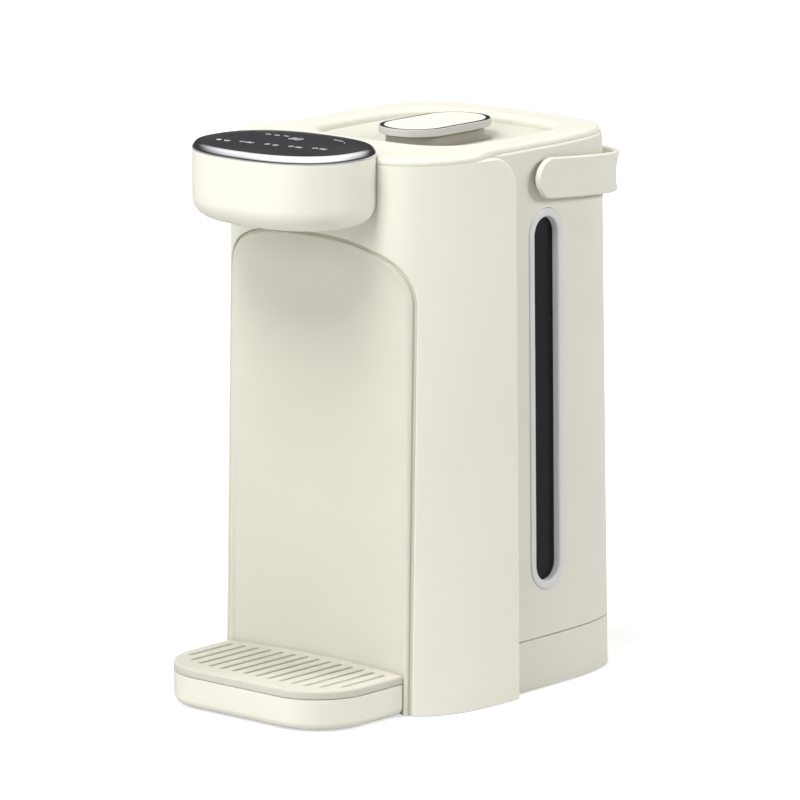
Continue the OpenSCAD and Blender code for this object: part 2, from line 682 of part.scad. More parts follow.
// parts on the board are laid out in cells
cell = board_w / 29;
module on_board(x, y) translate([x * cell, y * cell, board_t - 0.6]) children();
module power_board() color("darkgreen") placed() translate([board_x, board_y, board_z]) {
    translate([-board_w / 2, -board_l / 2, 0]) cube([board_w, board_l, board_t]);
    on_board(-10, -5) cube([12, 13, 10] * cell);
    on_board(6, -12) cube([5, 11, 12] * cell);
    for (y = [4, 10]) on_board(8, y) cylinder(r = 2.5 * cell, h = 9 * cell);
    for (y = [-13, -9]) on_board(-9, y) cube([10, 2.5, 4.5] * cell);
}
inlet_back = rear_b * ky(inlet_z) - 0.8;
module power_inlet() color("dimgray") placed() difference() {
    union() {
        translate([-inlet_w / 2, inlet_back - inlet_d, inlet_z - inlet_h / 2]) cube([inlet_w, inlet_d, inlet_h]);
        translate([-inlet_w / 2 - 3, inlet_back - wall - 3, inlet_z - inlet_h / 2 - 3])
            cube([inlet_w + 6, 2, inlet_h + 6]);
    }
    difference() {
        translate([-inlet_w / 2 + 2, inlet_back - inlet_d + 4, inlet_z - inlet_h / 2 + 2])
            cube([inlet_w - 4, inlet_d, inlet_h - 4]);
        for (x = [-7, 0, 7]) translate([x - 2, inlet_back - inlet_d, inlet_z + (x == 0 ? -5 : 1)])
            cube([4, inlet_d - 2, 2]);
    }
}
screw_l = 22;
module base_screws() color("silver") placed() at_screws() translate([0, 0, foot_h + 2 - 1.8]) difference() {
    union() {
        cylinder(r = 2 * screw_r, h = 1.8);
        cylinder(r = screw_r, h = screw_l);
    }
    for (a = [0, 90]) rotate([0, 0, a]) translate([-2.2, -0.4, -1]) cube([4.4, 0.8, 2]);
}
module base_feet() color("dimgray") placed() at_feet() difference() {
    cylinder(r = foot_r, h = foot_h + foot_sink);
    translate([0, 0, -eps]) tube(foot_r - 2.5, foot_r - 4.5, 0.5);
}
tray_foot_r = 7;
module at_tray_feet() mirrored() translate([0.6 * tray_a, -tray_reach + 2 / 3 * tray_r, 0]) children();
module tray_feet() color("dimgray") placed() at_tray_feet() cylinder(r = tray_foot_r, h = foot_h + 1);

// ---- lid ----
lid_gap = 0.5;
lid_top = frame_top - lid_depth;
lid_low = ledge_z + seat;
dish_run = 14;
liner_r = mouth_r - 2.6;
plug_depth = 13;
liner_low = lid_low - plug_depth;
plug_low = liner_low + 1 + seat;
dish_z = lid_top - dish_depth;
module lid_plate() color("ivory") placed() difference() {
    union() {
        super_solid(well_a - lid_gap, well_a - lid_gap, well_n, pot_y, lid_low, lid_top, 0, 1);
        translate([0, pot_y, plug_low]) cylinder(r = liner_r - 1.6, h = lid_low + 1 - plug_low);
    }
    loft([for (i = [0 : arc_steps]) let (t = i / arc_steps, w = well_a - 3 - dish_run * (1 - t))
        at_z(super_ring(w, w, well_n, pot_y), dish_z + dish_depth * pow(t, 1.8) + (i == arc_steps ? eps : 0))]);
    translate([0, pot_y, plug_low - 1]) cylinder(r = liner_r - 4, h = dish_z - plug_low - 1.5);
}
module lid_liner() color("silver") placed() translate([0, pot_y, 0]) difference() {
    translate([0, 0, liner_low]) cylinder(r = liner_r, h = lid_low - liner_low - 0.2, $fn = 128);
    translate([0, 0, liner_low + 1]) cylinder(r = liner_r - 1.3, h = big, $fn = 128);
    for (a = [0 : 60 : 300]) rotate([0, 0, a]) translate([liner_r / 2, 0, liner_low - 1]) cylinder(r = 2, h = 3);
}
module lid_gasket() color("gray") placed() translate([0, pot_y, ledge_z - ledge_t])
    tube(mouth_r - 0.4, liner_r + 0.05, ledge_t);
knob_low = frame_top + knob_rise - knob_t;
module knob_plan(inset, h) linear_extrude(h) stadium(2 * (knob_a - inset), 2 * (knob_l - inset));
module knob_pillar() color("tan") placed() translate([0, pot_y, dish_z]) knob_plan(pillar_inset, knob_low - dish_z);
module knob_ring() color("silver") placed() translate([0, pot_y, knob_low]) difference() {
    loft([for (s = [[0, 0.4], [0.4, 0], [knob_t - 1.2, 0], [knob_t, knob_band - 0.6]])
        let (a = knob_a - s[1], l = knob_l - s[1])
        [for (i = [0 : 63]) let (t = (i + 0.5) * 360 / 64)
            [a * cos(t), a * sin(t) + sign(sin(t)) * (l - a), s[0]]]]);
    translate([0, 0, 1.2]) knob_plan(knob_band, knob_t);
}
module knob_cap() color("ivory") placed() translate([0, pot_y, knob_low + 1.2]) knob_plan(knob_band + 0.1, knob_t - 1.2);

// ---- carry handle ----
strap_a = rear_a * kx(pivot_z, rear_a) + strap_gap + strap_t;
module strap_plan(a, b) polygon([for (i = [0 : half_pts * 2]) super_pt(i * 90 / half_pts, a, b, strap_n)]);
module drooped() translate([0, pivot_y, pivot_z]) rotate([-strap_droop, 0, 0]) translate([0, -pivot_y, 0]) children();
module carry_handle() color("ivory") placed() drooped() difference() {
    intersection() {
        translate([0, 0, -strap_h / 2]) linear_extrude(strap_h) difference() {
            strap_plan(strap_a, strap_b);
            strap_plan(strap_a - strap_t, strap_b - strap_t);
            translate([-strap_a + strap_t, -1]) square([2 * (strap_a - strap_t), 1 + eps]);
        }
        rotate([90, 0, 90]) linear_extrude(big, center = true) translate([pivot_y, 0]) {
            circle(d = strap_h);
            translate([0, -strap_h / 2]) square([big, strap_h]);
        }
    }
    translate([0, pivot_y, 0]) rotate([0, 90, 0]) cylinder(r = pin_r + run, h = 2 * (strap_a - strap_t + 1.6), center = true);
}
pin_in = flange_r + 3;
module handle_pins() color("silver") placed() translate([0, pivot_y, pivot_z]) mirrored() rotate([0, 90, 0])
    translate([0, 0, pin_in]) cylinder(r = pin_r, h = strap_a - strap_t + 1.5 - pin_in);
module handle_bushes() color("dimgray") placed() translate([0, pivot_y, pivot_z]) mirrored() rotate([0, 90, 0]) {
    wall_in = (rear_a - wall) * kx(pivot_z - bush_r, rear_a);
    translate([0, 0, pin_in]) tube(bush_r, pin_r + run, strap_a - strap_t - seat - pin_in - 0.2);
    translate([0, 0, pin_in]) tube(bush_r + 2, bush_r - 1, wall_in - pin_in - 0.6);
}

// ---- drip tray ----
tray_low = foot_h;
tray_wall = 2.4;
grille_t = 2.6;
module tray_back() lean() translate([0, -niche_y - niche_r, -1]) difference() {
    translate([-big, niche_r / 2, 0]) cube([2 * big, big * 2, big / 2]);
    translate([0, 0, -1]) cylinder(r = niche_r - tray_gap, h = big, $fn = 256);
}
module drip_tray() color("ivory") placed() difference() {
    tray_solid(tray_low, tray_seam, 0, tray_edge_r);
    tray_back();
    difference() {
        tray_solid(tray_low + tray_wall, tray_seam + 1, tray_wall, tray_edge_r - 1);
        translate([0, -tray_wall, 0]) tray_back();
    }
    at_tray_feet() cylinder(r = tray_foot_r + 0.1, h = foot_h + 1);
}
slot_front_inset = 14.5;
slot_back_inset = 10;
function panel_y(x) = niche_y + niche_r - sqrt(niche_r * niche_r - x * x);
function tray_front_y(x) = let (e = max(abs(x) - tray_a + tray_r, 0))
    tray_reach - tray_r + sqrt(tray_r * tray_r - e * e);
module drip_grille() color("ivory") placed() difference() {
    union() {
        difference() {
            tray_solid(tray_seam + 0.4, tray_h, 0, 0, 1.6);
            tray_solid(tray_seam - 1, tray_h - grille_t, tray_wall);
        }
        difference() {
            tray_solid(tray_seam - 3, tray_h - 1, tray_wall + seat);
            tray_solid(tray_seam - 4, tray_h - grille_t, tray_wall + seat + 1.8);
        }
    }
    tray_back();
    translate([0, -tray_wall - seat, 0]) intersection() {
        tray_back();
        cube([big * 2, big * 2, 2 * tray_seam], center = true);
    }
    for (i = [0 : slot_count - 1]) let (
        x = (i - (slot_count - 1) / 2) * slot_pitch,
        y0 = tray_front_y(x * tray_a / (tray_a - 0.6)) - slot_front_inset,
        y1 = panel_y(x) + slot_back_inset)
        translate([x, -(y0 + y1) / 2, 0]) linear_extrude(big) stadium(slot_w, y0 - y1);
}

front_shell();
rear_housing();
base_tub();
niche_panel();
top_frame();
window_frame();
window_lens();
sight_tube();
gauge_sockets();
head_housing();
head_ring();
control_glass();
control_board();
spout_nozzle();
inner_pot();
pot_seal();
pot_stand();
heater_plate();
thermostat();
thermal_fuse();
pump_body();
pump_motor();
pump_impeller();
pump_cradle();
suction_hose();
delivery_hose();
power_board();
power_inlet();
base_screws();
base_feet();
handle_bushes();
lid_plate();
lid_liner();
lid_gasket();
knob_pillar();
knob_ring();
knob_cap();
carry_handle();
handle_pins();
drip_tray();
tray_feet();
drip_grille();
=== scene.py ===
"""Looks of a countertop electric thermo pot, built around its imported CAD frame.

Sizes in the classes are millimetres in the pot's own plan: X to the right, Y back from the casing's
cross plane, Z up from the worktop. ``Plan`` turns them into metres in the frame.
"""

import json
import logging
import math
from collections.abc import Callable, Iterable, Sequence
from dataclasses import dataclass, field
from enum import Enum

import bmesh
import bpy
import numpy as np
from mathutils import Matrix, Vector


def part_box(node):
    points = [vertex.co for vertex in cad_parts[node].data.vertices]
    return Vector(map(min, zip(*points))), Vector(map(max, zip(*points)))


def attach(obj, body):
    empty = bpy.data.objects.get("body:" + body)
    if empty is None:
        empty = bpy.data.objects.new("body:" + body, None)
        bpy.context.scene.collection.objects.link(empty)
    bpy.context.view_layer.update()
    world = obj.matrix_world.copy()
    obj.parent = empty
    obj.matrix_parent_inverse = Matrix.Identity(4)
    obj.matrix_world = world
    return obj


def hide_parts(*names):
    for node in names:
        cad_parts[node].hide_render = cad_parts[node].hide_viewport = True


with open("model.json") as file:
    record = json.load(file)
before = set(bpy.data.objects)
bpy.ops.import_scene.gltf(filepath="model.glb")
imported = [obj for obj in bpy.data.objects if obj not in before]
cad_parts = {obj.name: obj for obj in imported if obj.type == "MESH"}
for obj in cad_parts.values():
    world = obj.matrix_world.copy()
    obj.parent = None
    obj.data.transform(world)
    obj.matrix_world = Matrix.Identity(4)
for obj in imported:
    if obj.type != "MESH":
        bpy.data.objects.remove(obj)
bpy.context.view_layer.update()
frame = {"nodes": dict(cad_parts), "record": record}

log = logging.getLogger("thermo_pot")
MM = 0.001
Array = np.ndarray
Outline = Callable[[float], np.ndarray]
Profile = Sequence[tuple[float, float]]
Piece = bpy.types.Object
WHITE_LIGHT = (1.0, 1.0, 1.0, 1.0)
DENSE_POINTS = 8001


class Body(str, Enum):
    """Bodies of the frame that pieces ride on."""

    BODY = "body"
    LID = "lid"
    HANDLE = "handle"
    TRAY = "tray"
    GRILLE = "grille"
    IMPELLER = "impeller"


class Slot(str, Enum):
    """Material slots of the record that pieces take their finish from."""

    CREAM = "cream_plastic"
    KNOB = "knob_white"
    PILLAR = "pillar_beige"
    TRIM = "bright_trim"
    GLASS = "control_glass"
    WINDOW = "window_grey"
    LENS = "window_black"
    GAUGE = "gauge_clear"
    NYLON = "nylon_white"
    POT = "pot_steel"
    ZINC = "zinc_steel"
    HEATER = "heater_alloy"
    PHENOLIC = "phenolic_brown"
    CERAMIC = "ceramic_tan"
    SILICONE = "grey_silicone"
    HOSE = "clear_silicone"
    RUBBER = "dark_rubber"
    BLACK = "black_nylon"
    CIRCUIT = "circuit_green"


# ---------------------------------------------------------------- node graphs


class Wire:
    """A node's output that Python operators work on, each by adding one Math node."""

    def __init__(self, graph: "Graph", socket: bpy.types.NodeSocket) -> None:
        """Wraps one output socket of a graph."""
        self.graph = graph
        self.socket = socket

    def _math(self, operation: str, *values: "Wire | float") -> "Wire":
        """Adds a Math node that works on the given values."""
        return self.graph.node("ShaderNodeMath", {"operation": operation}, dict(enumerate(values)))

    def __add__(self, other: "Wire | float") -> "Wire":
        """Sum."""
        return self._math("ADD", self, other)

    def __radd__(self, other: float) -> "Wire":
        """Sum, with the wire on the right."""
        return self._math("ADD", other, self)

    def __sub__(self, other: "Wire | float") -> "Wire":
        """Difference."""
        return self._math("SUBTRACT", self, other)

    def __rsub__(self, other: float) -> "Wire":
        """Difference, with the wire on the right."""
        return self._math("SUBTRACT", other, self)

    def __mul__(self, other: "Wire | float") -> "Wire":
        """Product."""
        return self._math("MULTIPLY", self, other)

    def absolute(self) -> "Wire":
        """Size without sign."""
        return self._math("ABSOLUTE", self)

    def root(self) -> "Wire":
        """Square root."""
        return self._math("SQRT", self)

    def at_least(self, low: float) -> "Wire":
        """The wire, or a lower limit where it is below that."""
        return self._math("MAXIMUM", self, low)

    def above(self, level: float) -> "Wire":
        """One where the wire is above a level, and zero elsewhere."""
        return self._math("GREATER_THAN", self, level)

    def ramp(self, low: float, high: float) -> "Wire":
        """The wire mapped from low..high to 0..1, with soft ends."""
        return self.graph.node(
            "ShaderNodeMapRange",
            {"interpolation_type": "SMOOTHSTEP"},
            {"Value": self, "From Min": low, "From Max": high},
        )


Value = Wire | float | int | bool | Sequence[float] | bpy.types.bpy_struct


class Graph:
    """Adds nodes to a shader tree or a geometry tree."""

    def __init__(self, tree: bpy.types.NodeTree) -> None:
        """Starts on an emptied tree."""
        self.tree = tree
        tree.nodes.clear()

    def node(
        self,
        kind: str,
        settings: dict[str, object] | None = None,
        inputs: dict[str | int, Value] | None = None,
        output: str | int = 0,
    ) -> Wire:
        """Adds a node, sets it up and links it.

        Args:
            kind: Blender's name of the node type.
            settings: Properties, which are set before the inputs.
            inputs: Values or wires by input name or index.
            output: Name or index of the output that is returned.

        Returns:
            The chosen output as a wire.
        """
        made = self.tree.nodes.new(kind)
        for name, value in (settings or {}).items():
            setattr(made, name, value)
        for key, value in (inputs or {}).items():
            if isinstance(value, Wire):
                self.tree.links.new(value.socket, made.inputs[key])
            else:
                made.inputs[key].default_value = value
        return Wire(self, made.outputs[output]) if made.outputs else Wire(self, None)

    def blend(self, share: Value, low: Value, high: Value) -> Wire:
        """Mixes two colours by a share."""
        return self.node("ShaderNodeMix", {"data_type": "RGBA"}, {0: share, 6: low, 7: high}, output=2)

    def either(self, share: Wire, low: Wire, high: Wire) -> Wire:
        """Mixes two shaders by a share."""
        return self.node("ShaderNodeMixShader", {}, {0: share, 1: low, 2: high})

    def white(self, kind: str, strength: Value) -> Wire:
        """Adds a white background or emission of a strength."""
        return self.node(kind, {}, {"Color": WHITE_LIGHT, "Strength": strength})

    def surface(self, shader: Wire, kind: str = "Material") -> None:
        """Ends a material's or a world's tree with a shader."""
        self.node(f"ShaderNodeOutput{kind}", {}, {"Surface": shader})

    def vector(self, **parts: Wire) -> Wire:
        """A vector of the given parts, with zero for the others."""
        return self.node("ShaderNodeCombineXYZ", {}, parts)

    def axis(self, vector: Wire, name: str) -> Wire:
        """One part of a vector."""
        return self.node("ShaderNodeSeparateXYZ", {}, {"Vector": vector}, output=name)

    def seen(self, *names: str) -> Wire:
        """One for rays of the named kinds, such as those from the camera."""
        path = self.node("ShaderNodeLightPath").socket.node
        rays = [Wire(self, path.outputs[name]) for name in names]
        return sum(rays[1:], rays[0]).above(0.5)

    def noise(self, scale: float, detail: float = 2.0, stretch: Sequence[float] = (1, 1, 1)) -> Wire:
        """Noise on the piece's own metres.

        Args:
            scale: Features per metre.
            detail: Octaves.
            stretch: Factors on X, Y and Z, for brushed grain.

        Returns:
            The noise's value, about 0.5 in the middle.
        """
        place = self.node("ShaderNodeTexCoord", output="Object")
        if tuple(stretch) != (1, 1, 1):
            place = self.node("ShaderNodeMapping", {}, {"Vector": place, "Scale": stretch})
        return self.node("ShaderNodeTexNoise", {}, {"Vector": place, "Scale": scale, "Detail": detail})

    def bump(self, height: Wire, strength: float, distance: float) -> Wire:
        """Normal from a height, with the distance in metres."""
        inputs = {"Height": height, "Strength": strength, "Distance": distance}
        return self.node("ShaderNodeBump", {}, inputs, output="Normal")


Colour = tuple[float, float, float]


def linear(colour: Colour) -> tuple[float, float, float, float]:
    """A colour given as 0..255 screen values, as linear RGBA."""
    low = [c / 255 for c in colour]
    made = [c / 12.92 if c <= 0.04045 else ((c + 0.055) / 1.055) ** 2.4 for c in low]
    return (*made, 1.0)


def scaled(colour: Colour, factor: float) -> Colour:
    """A screen colour made lighter or darker."""
    return tuple(min(255.0, c * factor) for c in colour)


# ------------------------------------------------------------------- finishes


@dataclass(frozen=True)
class Finish:
    """A finish that can make its own Blender material."""

    name: str
    colour: Colour
    roughness: float = 0.5

    def material(self) -> bpy.types.Material:
        """The finish's material, made once and shared afterwards."""
        label = f"{self.name}_coat"
        known = bpy.data.materials.get(label)
        if known:
            return known
        made = bpy.data.materials.new(label)
        made.use_nodes = True
        graph = Graph(made.node_tree)
        graph.surface(self.surface(graph))
        return made

    def tint(self, graph: Graph, share: Wire, low: float = 1.0, high: float = 1.0) -> Wire:
        """The finish's colour, mixed by a share from a darker to a lighter factor."""
        return graph.blend(share, linear(scaled(self.colour, low)), linear(scaled(self.colour, high)))

    def surface(self, graph: Graph) -> Wire:
        """Adds the shader and returns it."""
        raise NotImplementedError

    def principled(self, graph: Graph, tint: Wire, gloss: Value, **inputs: Value) -> Wire:
        """Adds the Principled shader, with underscores for the spaces in its inputs' names."""
        others = {name.replace("_", " "): value for name, value in inputs.items()}
        return graph.node("ShaderNodeBsdfPrincipled", {}, {"Base Color": tint, "Roughness": gloss} | others)


@dataclass(frozen=True)
class Moulded(Finish):
    """Moulded plastic with a fine satin grain, slight mottling and faint handling marks."""

    grain: float = 2600.0
    grain_depth: float = 0.000012
    mottle: float = 0.012

    def surface(self, graph: Graph) -> Wire:
        """Adds the shader and returns it."""
        share = (graph.noise(9.0, 3.0) * 0.75 + graph.noise(self.grain * 0.5, 1.0) * 0.25).ramp(0.25, 0.75)
        tint = self.tint(graph, share, 1 - self.mottle, 1 + self.mottle)
        gloss = self.roughness + (graph.noise(34.0, 4.0) - 0.5) * 0.10
        normal = graph.bump(graph.noise(self.grain), 0.35, self.grain_depth * 10)
        return self.principled(graph, tint, gloss, Normal=normal, Specular_IOR_Level=0.25)


@dataclass(frozen=True)
class Metal(Finish):
    """Bright, drawn or cast metal, with a grain that may run along one axis."""

    grain: float = 400.0
    stretch: tuple[float, float, float] = (1.0, 1.0, 1.0)
    grain_depth: float = 0.000004
    spread: float = 0.06

    def surface(self, graph: Graph) -> Wire:
        """Adds the shader and returns it."""
        streak = graph.noise(self.grain, 3.0, self.stretch)
        tint = self.tint(graph, graph.noise(18.0).ramp(0.3, 0.7), 0.96)
        gloss = (self.roughness + (streak - 0.5) * self.spread).at_least(0.02)
        normal = graph.bump(streak, 0.25, self.grain_depth * 10)
        return self.principled(graph, tint, gloss, Normal=normal, Metallic=1.0)


@dataclass(frozen=True)
class Panel(Finish):
    """Polished dark panel with a faint dusting."""

    dust: float = 0.35
    specular: float = 0.5

    def surface(self, graph: Graph) -> Wire:
        """Adds the shader and returns it."""
        cloud = graph.noise(26.0, 5.0).ramp(0.45, 0.8)
        tint = self.tint(graph, cloud * self.dust, high=1.25)
        normal = graph.bump(graph.noise(900.0), 0.1, 0.00001)
        gloss = self.roughness + cloud * 0.10
        return self.principled(graph, tint, gloss, Normal=normal, Specular_IOR_Level=self.specular)


@dataclass(frozen=True)
class Soft(Finish):
    """Rubber or silicone, with a dull bloom."""

    def surface(self, graph: Graph) -> Wire:
        """Adds the shader and returns it."""
        bloom = graph.noise(60.0, 5.0).ramp(0.35, 0.75)
        normal = graph.bump(graph.noise(1500.0), 0.4, 0.00006)
        tint = self.tint(graph, bloom, high=1.12)
        return self.principled(graph, tint, self.roughness + bloom * 0.08, Normal=normal)


@dataclass(frozen=True)
class Clear(Finish):
    """Clear moulded tube, dressed as a pale see-through skin."""

    alpha: float = 0.45

    def surface(self, graph: Graph) -> Wire:
        """Adds the shader and returns it."""
        streak = graph.noise(220.0, 2.0, (1, 1, 0.1))
        tint = self.tint(graph, streak, high=1.04)
        return self.principled(graph, tint, self.roughness, Alpha=streak * 0.1 + self.alpha)


@dataclass(frozen=True)
class Printed(Finish):
    """Pale marks printed on the control glass."""

    def surface(self, graph: Graph) -> Wire:
        """Adds the shader and returns it."""
        patch = graph.noise(700.0, 3.0)
        tint = self.tint(graph, patch.ramp(0.2, 0.8), 0.94)
        return self.principled(graph, tint, self.roughness + patch * 0.05)


CREAM = Moulded("cream_shell", (230, 228, 215), 0.46)
# Darker copy of the cream plastic: painted shade for the side and rear walls and the base tub, which face
# away from the key lamps.
CREAM_REAR_SHADED = Moulded("cream_rear", (220, 217, 205), 0.48)
# Darker copy of the cream plastic: painted shade for the recessed niche panel under the head's overhang.
CREAM_PANEL_SHADED = Moulded("cream_niche", (212, 210, 196), 0.52)
# Darker copy of the cream plastic: painted shade that tones down the top frame, which the overhead lamps
# light strongly.
CREAM_TOP_SHADED = Moulded("cream_top", (220, 218, 206), 0.5)
# Darker copy of the cream plastic: painted shade for the lid plate sunk in the well and shaded by the knob.
CREAM_LID_SHADED = Moulded("cream_lid", (209, 207, 194), 0.5)
# Darker copy of the cream plastic: painted shade for the strap on the shaded side wall.
CREAM_HANDLE_SHADED = Moulded("cream_handle", (222, 219, 207), 0.48)
# Much darker copy of the cream plastic: painted shadow of the head falling on the grille.
CREAM_GRILLE_SHADED = Moulded("cream_grille", (203, 200, 188), 0.52)
WHITE = Moulded("knob_cap_white", (224, 224, 211), 0.55, grain_depth=0.000004)
SATIN = Moulded("knob_side_satin", (190, 188, 183), 0.42, grain=1800.0)
# Beige of the knob's pillar, partly its own colour and partly painted shade for the shadow under the cap's
# overhang.
SHADED_BEIGE = Moulded("pillar_beige", (150, 147, 138), 0.5)
GREY = Moulded("window_bezel_grey", (212, 212, 211), 0.34, grain_depth=0.000004)
CHROME = Metal("bright_trim", (232, 232, 234), 0.12, grain=900.0, spread=0.03, grain_depth=0.000001)
GLASS = Panel("control_panel", (50, 50, 52), 0.2)
LENS = Panel("window_lens", (18, 19, 20), 0.22, dust=0.2, specular=0.25)
MARKS = Printed("panel_marks", (238, 238, 240), 0.5)
FINISHES: dict[Slot, Finish] = {
    Slot.CREAM: CREAM,
    Slot.KNOB: WHITE,
    Slot.PILLAR: SHADED_BEIGE,
    Slot.TRIM: CHROME,
    Slot.GLASS: GLASS,
    Slot.WINDOW: GREY,
    Slot.LENS: LENS,
    Slot.GAUGE: Clear("gauge_tube", (220, 232, 234), 0.08),
    Slot.NYLON: Moulded("natural_nylon", (226, 226, 219), 0.5),
    Slot.POT: Metal("drawn_steel", (196, 196, 194), 0.3, grain=120.0, stretch=(1, 1, 14), spread=0.14),
    Slot.ZINC: Metal("zinc_plate", (176, 178, 182), 0.36, grain=300.0, spread=0.2),
    Slot.HEATER: Metal("cast_alloy", (160, 160, 160), 0.55, grain=700.0, spread=0.2, grain_depth=0.00002),
    Slot.PHENOLIC: Moulded("phenolic", (74, 50, 36), 0.42, grain_depth=0.00002),
    Slot.CERAMIC: Moulded("ceramic", (206, 186, 150), 0.7, grain_depth=0.00003),
    Slot.SILICONE: Soft("grey_silicone", (150, 150, 148), 0.55),
    Slot.HOSE: Soft("clear_silicone", (222, 222, 214), 0.42),
    Slot.RUBBER: Soft("dark_rubber", (52, 52, 52), 0.72),
    Slot.BLACK: Moulded("black_nylon", (30, 30, 31), 0.5, grain_depth=0.00002),
    Slot.CIRCUIT: Panel("circuit_resist", (28, 92, 56), 0.35, dust=0.5),
}


# ------------------------------------------------------------------- outlines


def signed_power(value: Array, power: float) -> Array:
    """Power of the size, with the sign kept."""
    return np.sign(value) * np.abs(value) ** power


def super_points(angles: Array, a: float, b: float, n: float) -> Array:
    """Points of a superellipse.

    Args:
        angles: Parameter angles in degrees.
        a: Half size along X.
        b: Half size along Y.
        n: Roundness; 2 is an ellipse and more is squarer.

    Returns:
        One X, Y pair for each angle.
    """
    t = np.radians(angles)
    return np.stack([a * signed_power(np.cos(t), 2 / n), b * signed_power(np.sin(t), 2 / n)], axis=-1)


def even_angles(a: float, b: float, n: float, start: float, end: float, count: int) -> Array:
    """Parameter angles whose points are spaced evenly by length and by turning.

    Args:
        a: Half size along X.
        b: Half size along Y.
        n: Roundness.
        start: First angle in degrees.
        end: Last angle in degrees.
        count: Number of angles.

    Returns:
        The angles in degrees.
    """
    dense = np.linspace(start, end, DENSE_POINTS)
    return np.interp(np.linspace(0, 1, count), measure(super_points(dense, a, b, n)), dense)


def measure(points: Array, turning_weight: float = 30.0) -> Array:
    """Share of the way along a line of points, by length and by turning.

    Args:
        points: Points along the line.
        turning_weight: Length that a turn of one radian counts for.

    Returns:
        One share from 0 to 1 for each point.
    """
    step = np.diff(points, axis=0)
    heading = np.unwrap(np.arctan2(step[:, 1], step[:, 0]))
    turning = np.abs(np.diff(heading, prepend=heading[0]))
    total = np.concatenate([[0], np.cumsum(np.hypot(step[:, 0], step[:, 1]) + turning_weight * turning)])
    return total / total[-1]


def even_points(points: Array, count: int) -> Array:
    """The same line with a number of points spaced evenly by length and turning."""
    share = measure(points)
    want = np.linspace(0, 1, count)
    return np.stack([np.interp(want, share, points[:, k]) for k in range(points.shape[1])], axis=-1)


def lifted(outline: Array, z: float | Array) -> Array:
    """An outline as points at a height."""
    return np.column_stack([outline, np.full(len(outline), z) if np.isscalar(z) else z])


def ease(value: float | Array, low: float, high: float) -> float | Array:
    """Share of the way from low to high, with soft ends."""
    share = np.clip((value - low) / (high - low), 0, 1)
    return share * share * (3 - 2 * share)


def circle(radius: float, count: int, start: float = 0.0) -> Array:
    """Points round a circle from a start angle in degrees."""
    t = np.radians(np.linspace(0, 360, count, endpoint=False) + start)
    return np.stack([radius * np.cos(t), radius * np.sin(t)], axis=-1)


def quarter(radius: float, steps: int = 6) -> list[tuple[float, float]]:
    """Insets and drops of a rounded edge, from the wall to the top."""
    turns = [math.pi / 2 * i / steps for i in range(steps + 1)]
    return [(radius * (1 - math.cos(t)), radius * (1 - math.sin(t))) for t in turns]


def bent(start: Array, corner: Array, end: Array, steps: int = 5) -> list[Array]:
    """Rows of points that round a corner from start to end."""
    shares = [i / steps for i in range(steps + 1)]
    return [(1 - t) ** 2 * start + 2 * t * (1 - t) * corner + t * t * end for t in shares]


def stadium(half_w: float, half_l: float, inset: float = 0.0, count: int = 40) -> Array:
    """Outline of a stadium whose length runs along its second axis.

    Args:
        half_w: Half width, which is the end radius.
        half_l: Half length over the ends.
        inset: How far the outline is drawn in.
        count: Points along each end.

    Returns:
        Points in turn, from the right side over the far end.
    """
    r = half_w - inset
    reach = half_l - half_w
    t = np.radians(np.linspace(0, 180, count))
    far = np.stack([r * np.cos(t), reach + r * np.sin(t)], axis=-1)
    return np.concatenate([far, -far])


# ------------------------------------------------------------------ mesh tools


@dataclass(frozen=True)
class Plan:
    """Turns the pot's own millimetres into metres in the frame."""

    tray_reach: float = 157.0

    @property
    def y_shift(self) -> float:
        """Distance from the frame's origin to the cross plane, worked out from the tray."""
        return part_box("drip_tray")[0].y / MM + self.tray_reach

    def place(self, points: Array) -> Array:
        """Points in the frame, in metres."""
        return (np.asarray(points, float) + np.array([0.0, self.y_shift, 0.0])) * MM


PLAN = Plan()


def placed(name: str, data: bpy.types.ID) -> Piece:
    """Makes an object of its data and links it to the scene."""
    made = bpy.data.objects.new(name, data)
    bpy.context.scene.collection.objects.link(made)
    return made


def mesh_object(name: str, points: Array, faces: Iterable[Sequence[int]]) -> Piece:
    """Makes an object from points in the plan, welded and with its faces outwards.

    Args:
        name: Name of the object.
        points: Points in plan millimetres.
        faces: Corner numbers of each face.

    Returns:
        The object, linked to the scene.
    """
    mesh = bpy.data.meshes.new(name)
    mesh.from_pydata([tuple(p) for p in PLAN.place(points)], [], [tuple(f) for f in faces])
    build = bmesh.new()
    build.from_mesh(mesh)
    bmesh.ops.remove_doubles(build, verts=build.verts, dist=2e-6)
    bmesh.ops.dissolve_degenerate(build, edges=build.edges, dist=1e-7)
    bmesh.ops.recalc_face_normals(build, faces=build.faces)
    build.to_mesh(mesh)
    build.free()
    return placed(name, mesh)


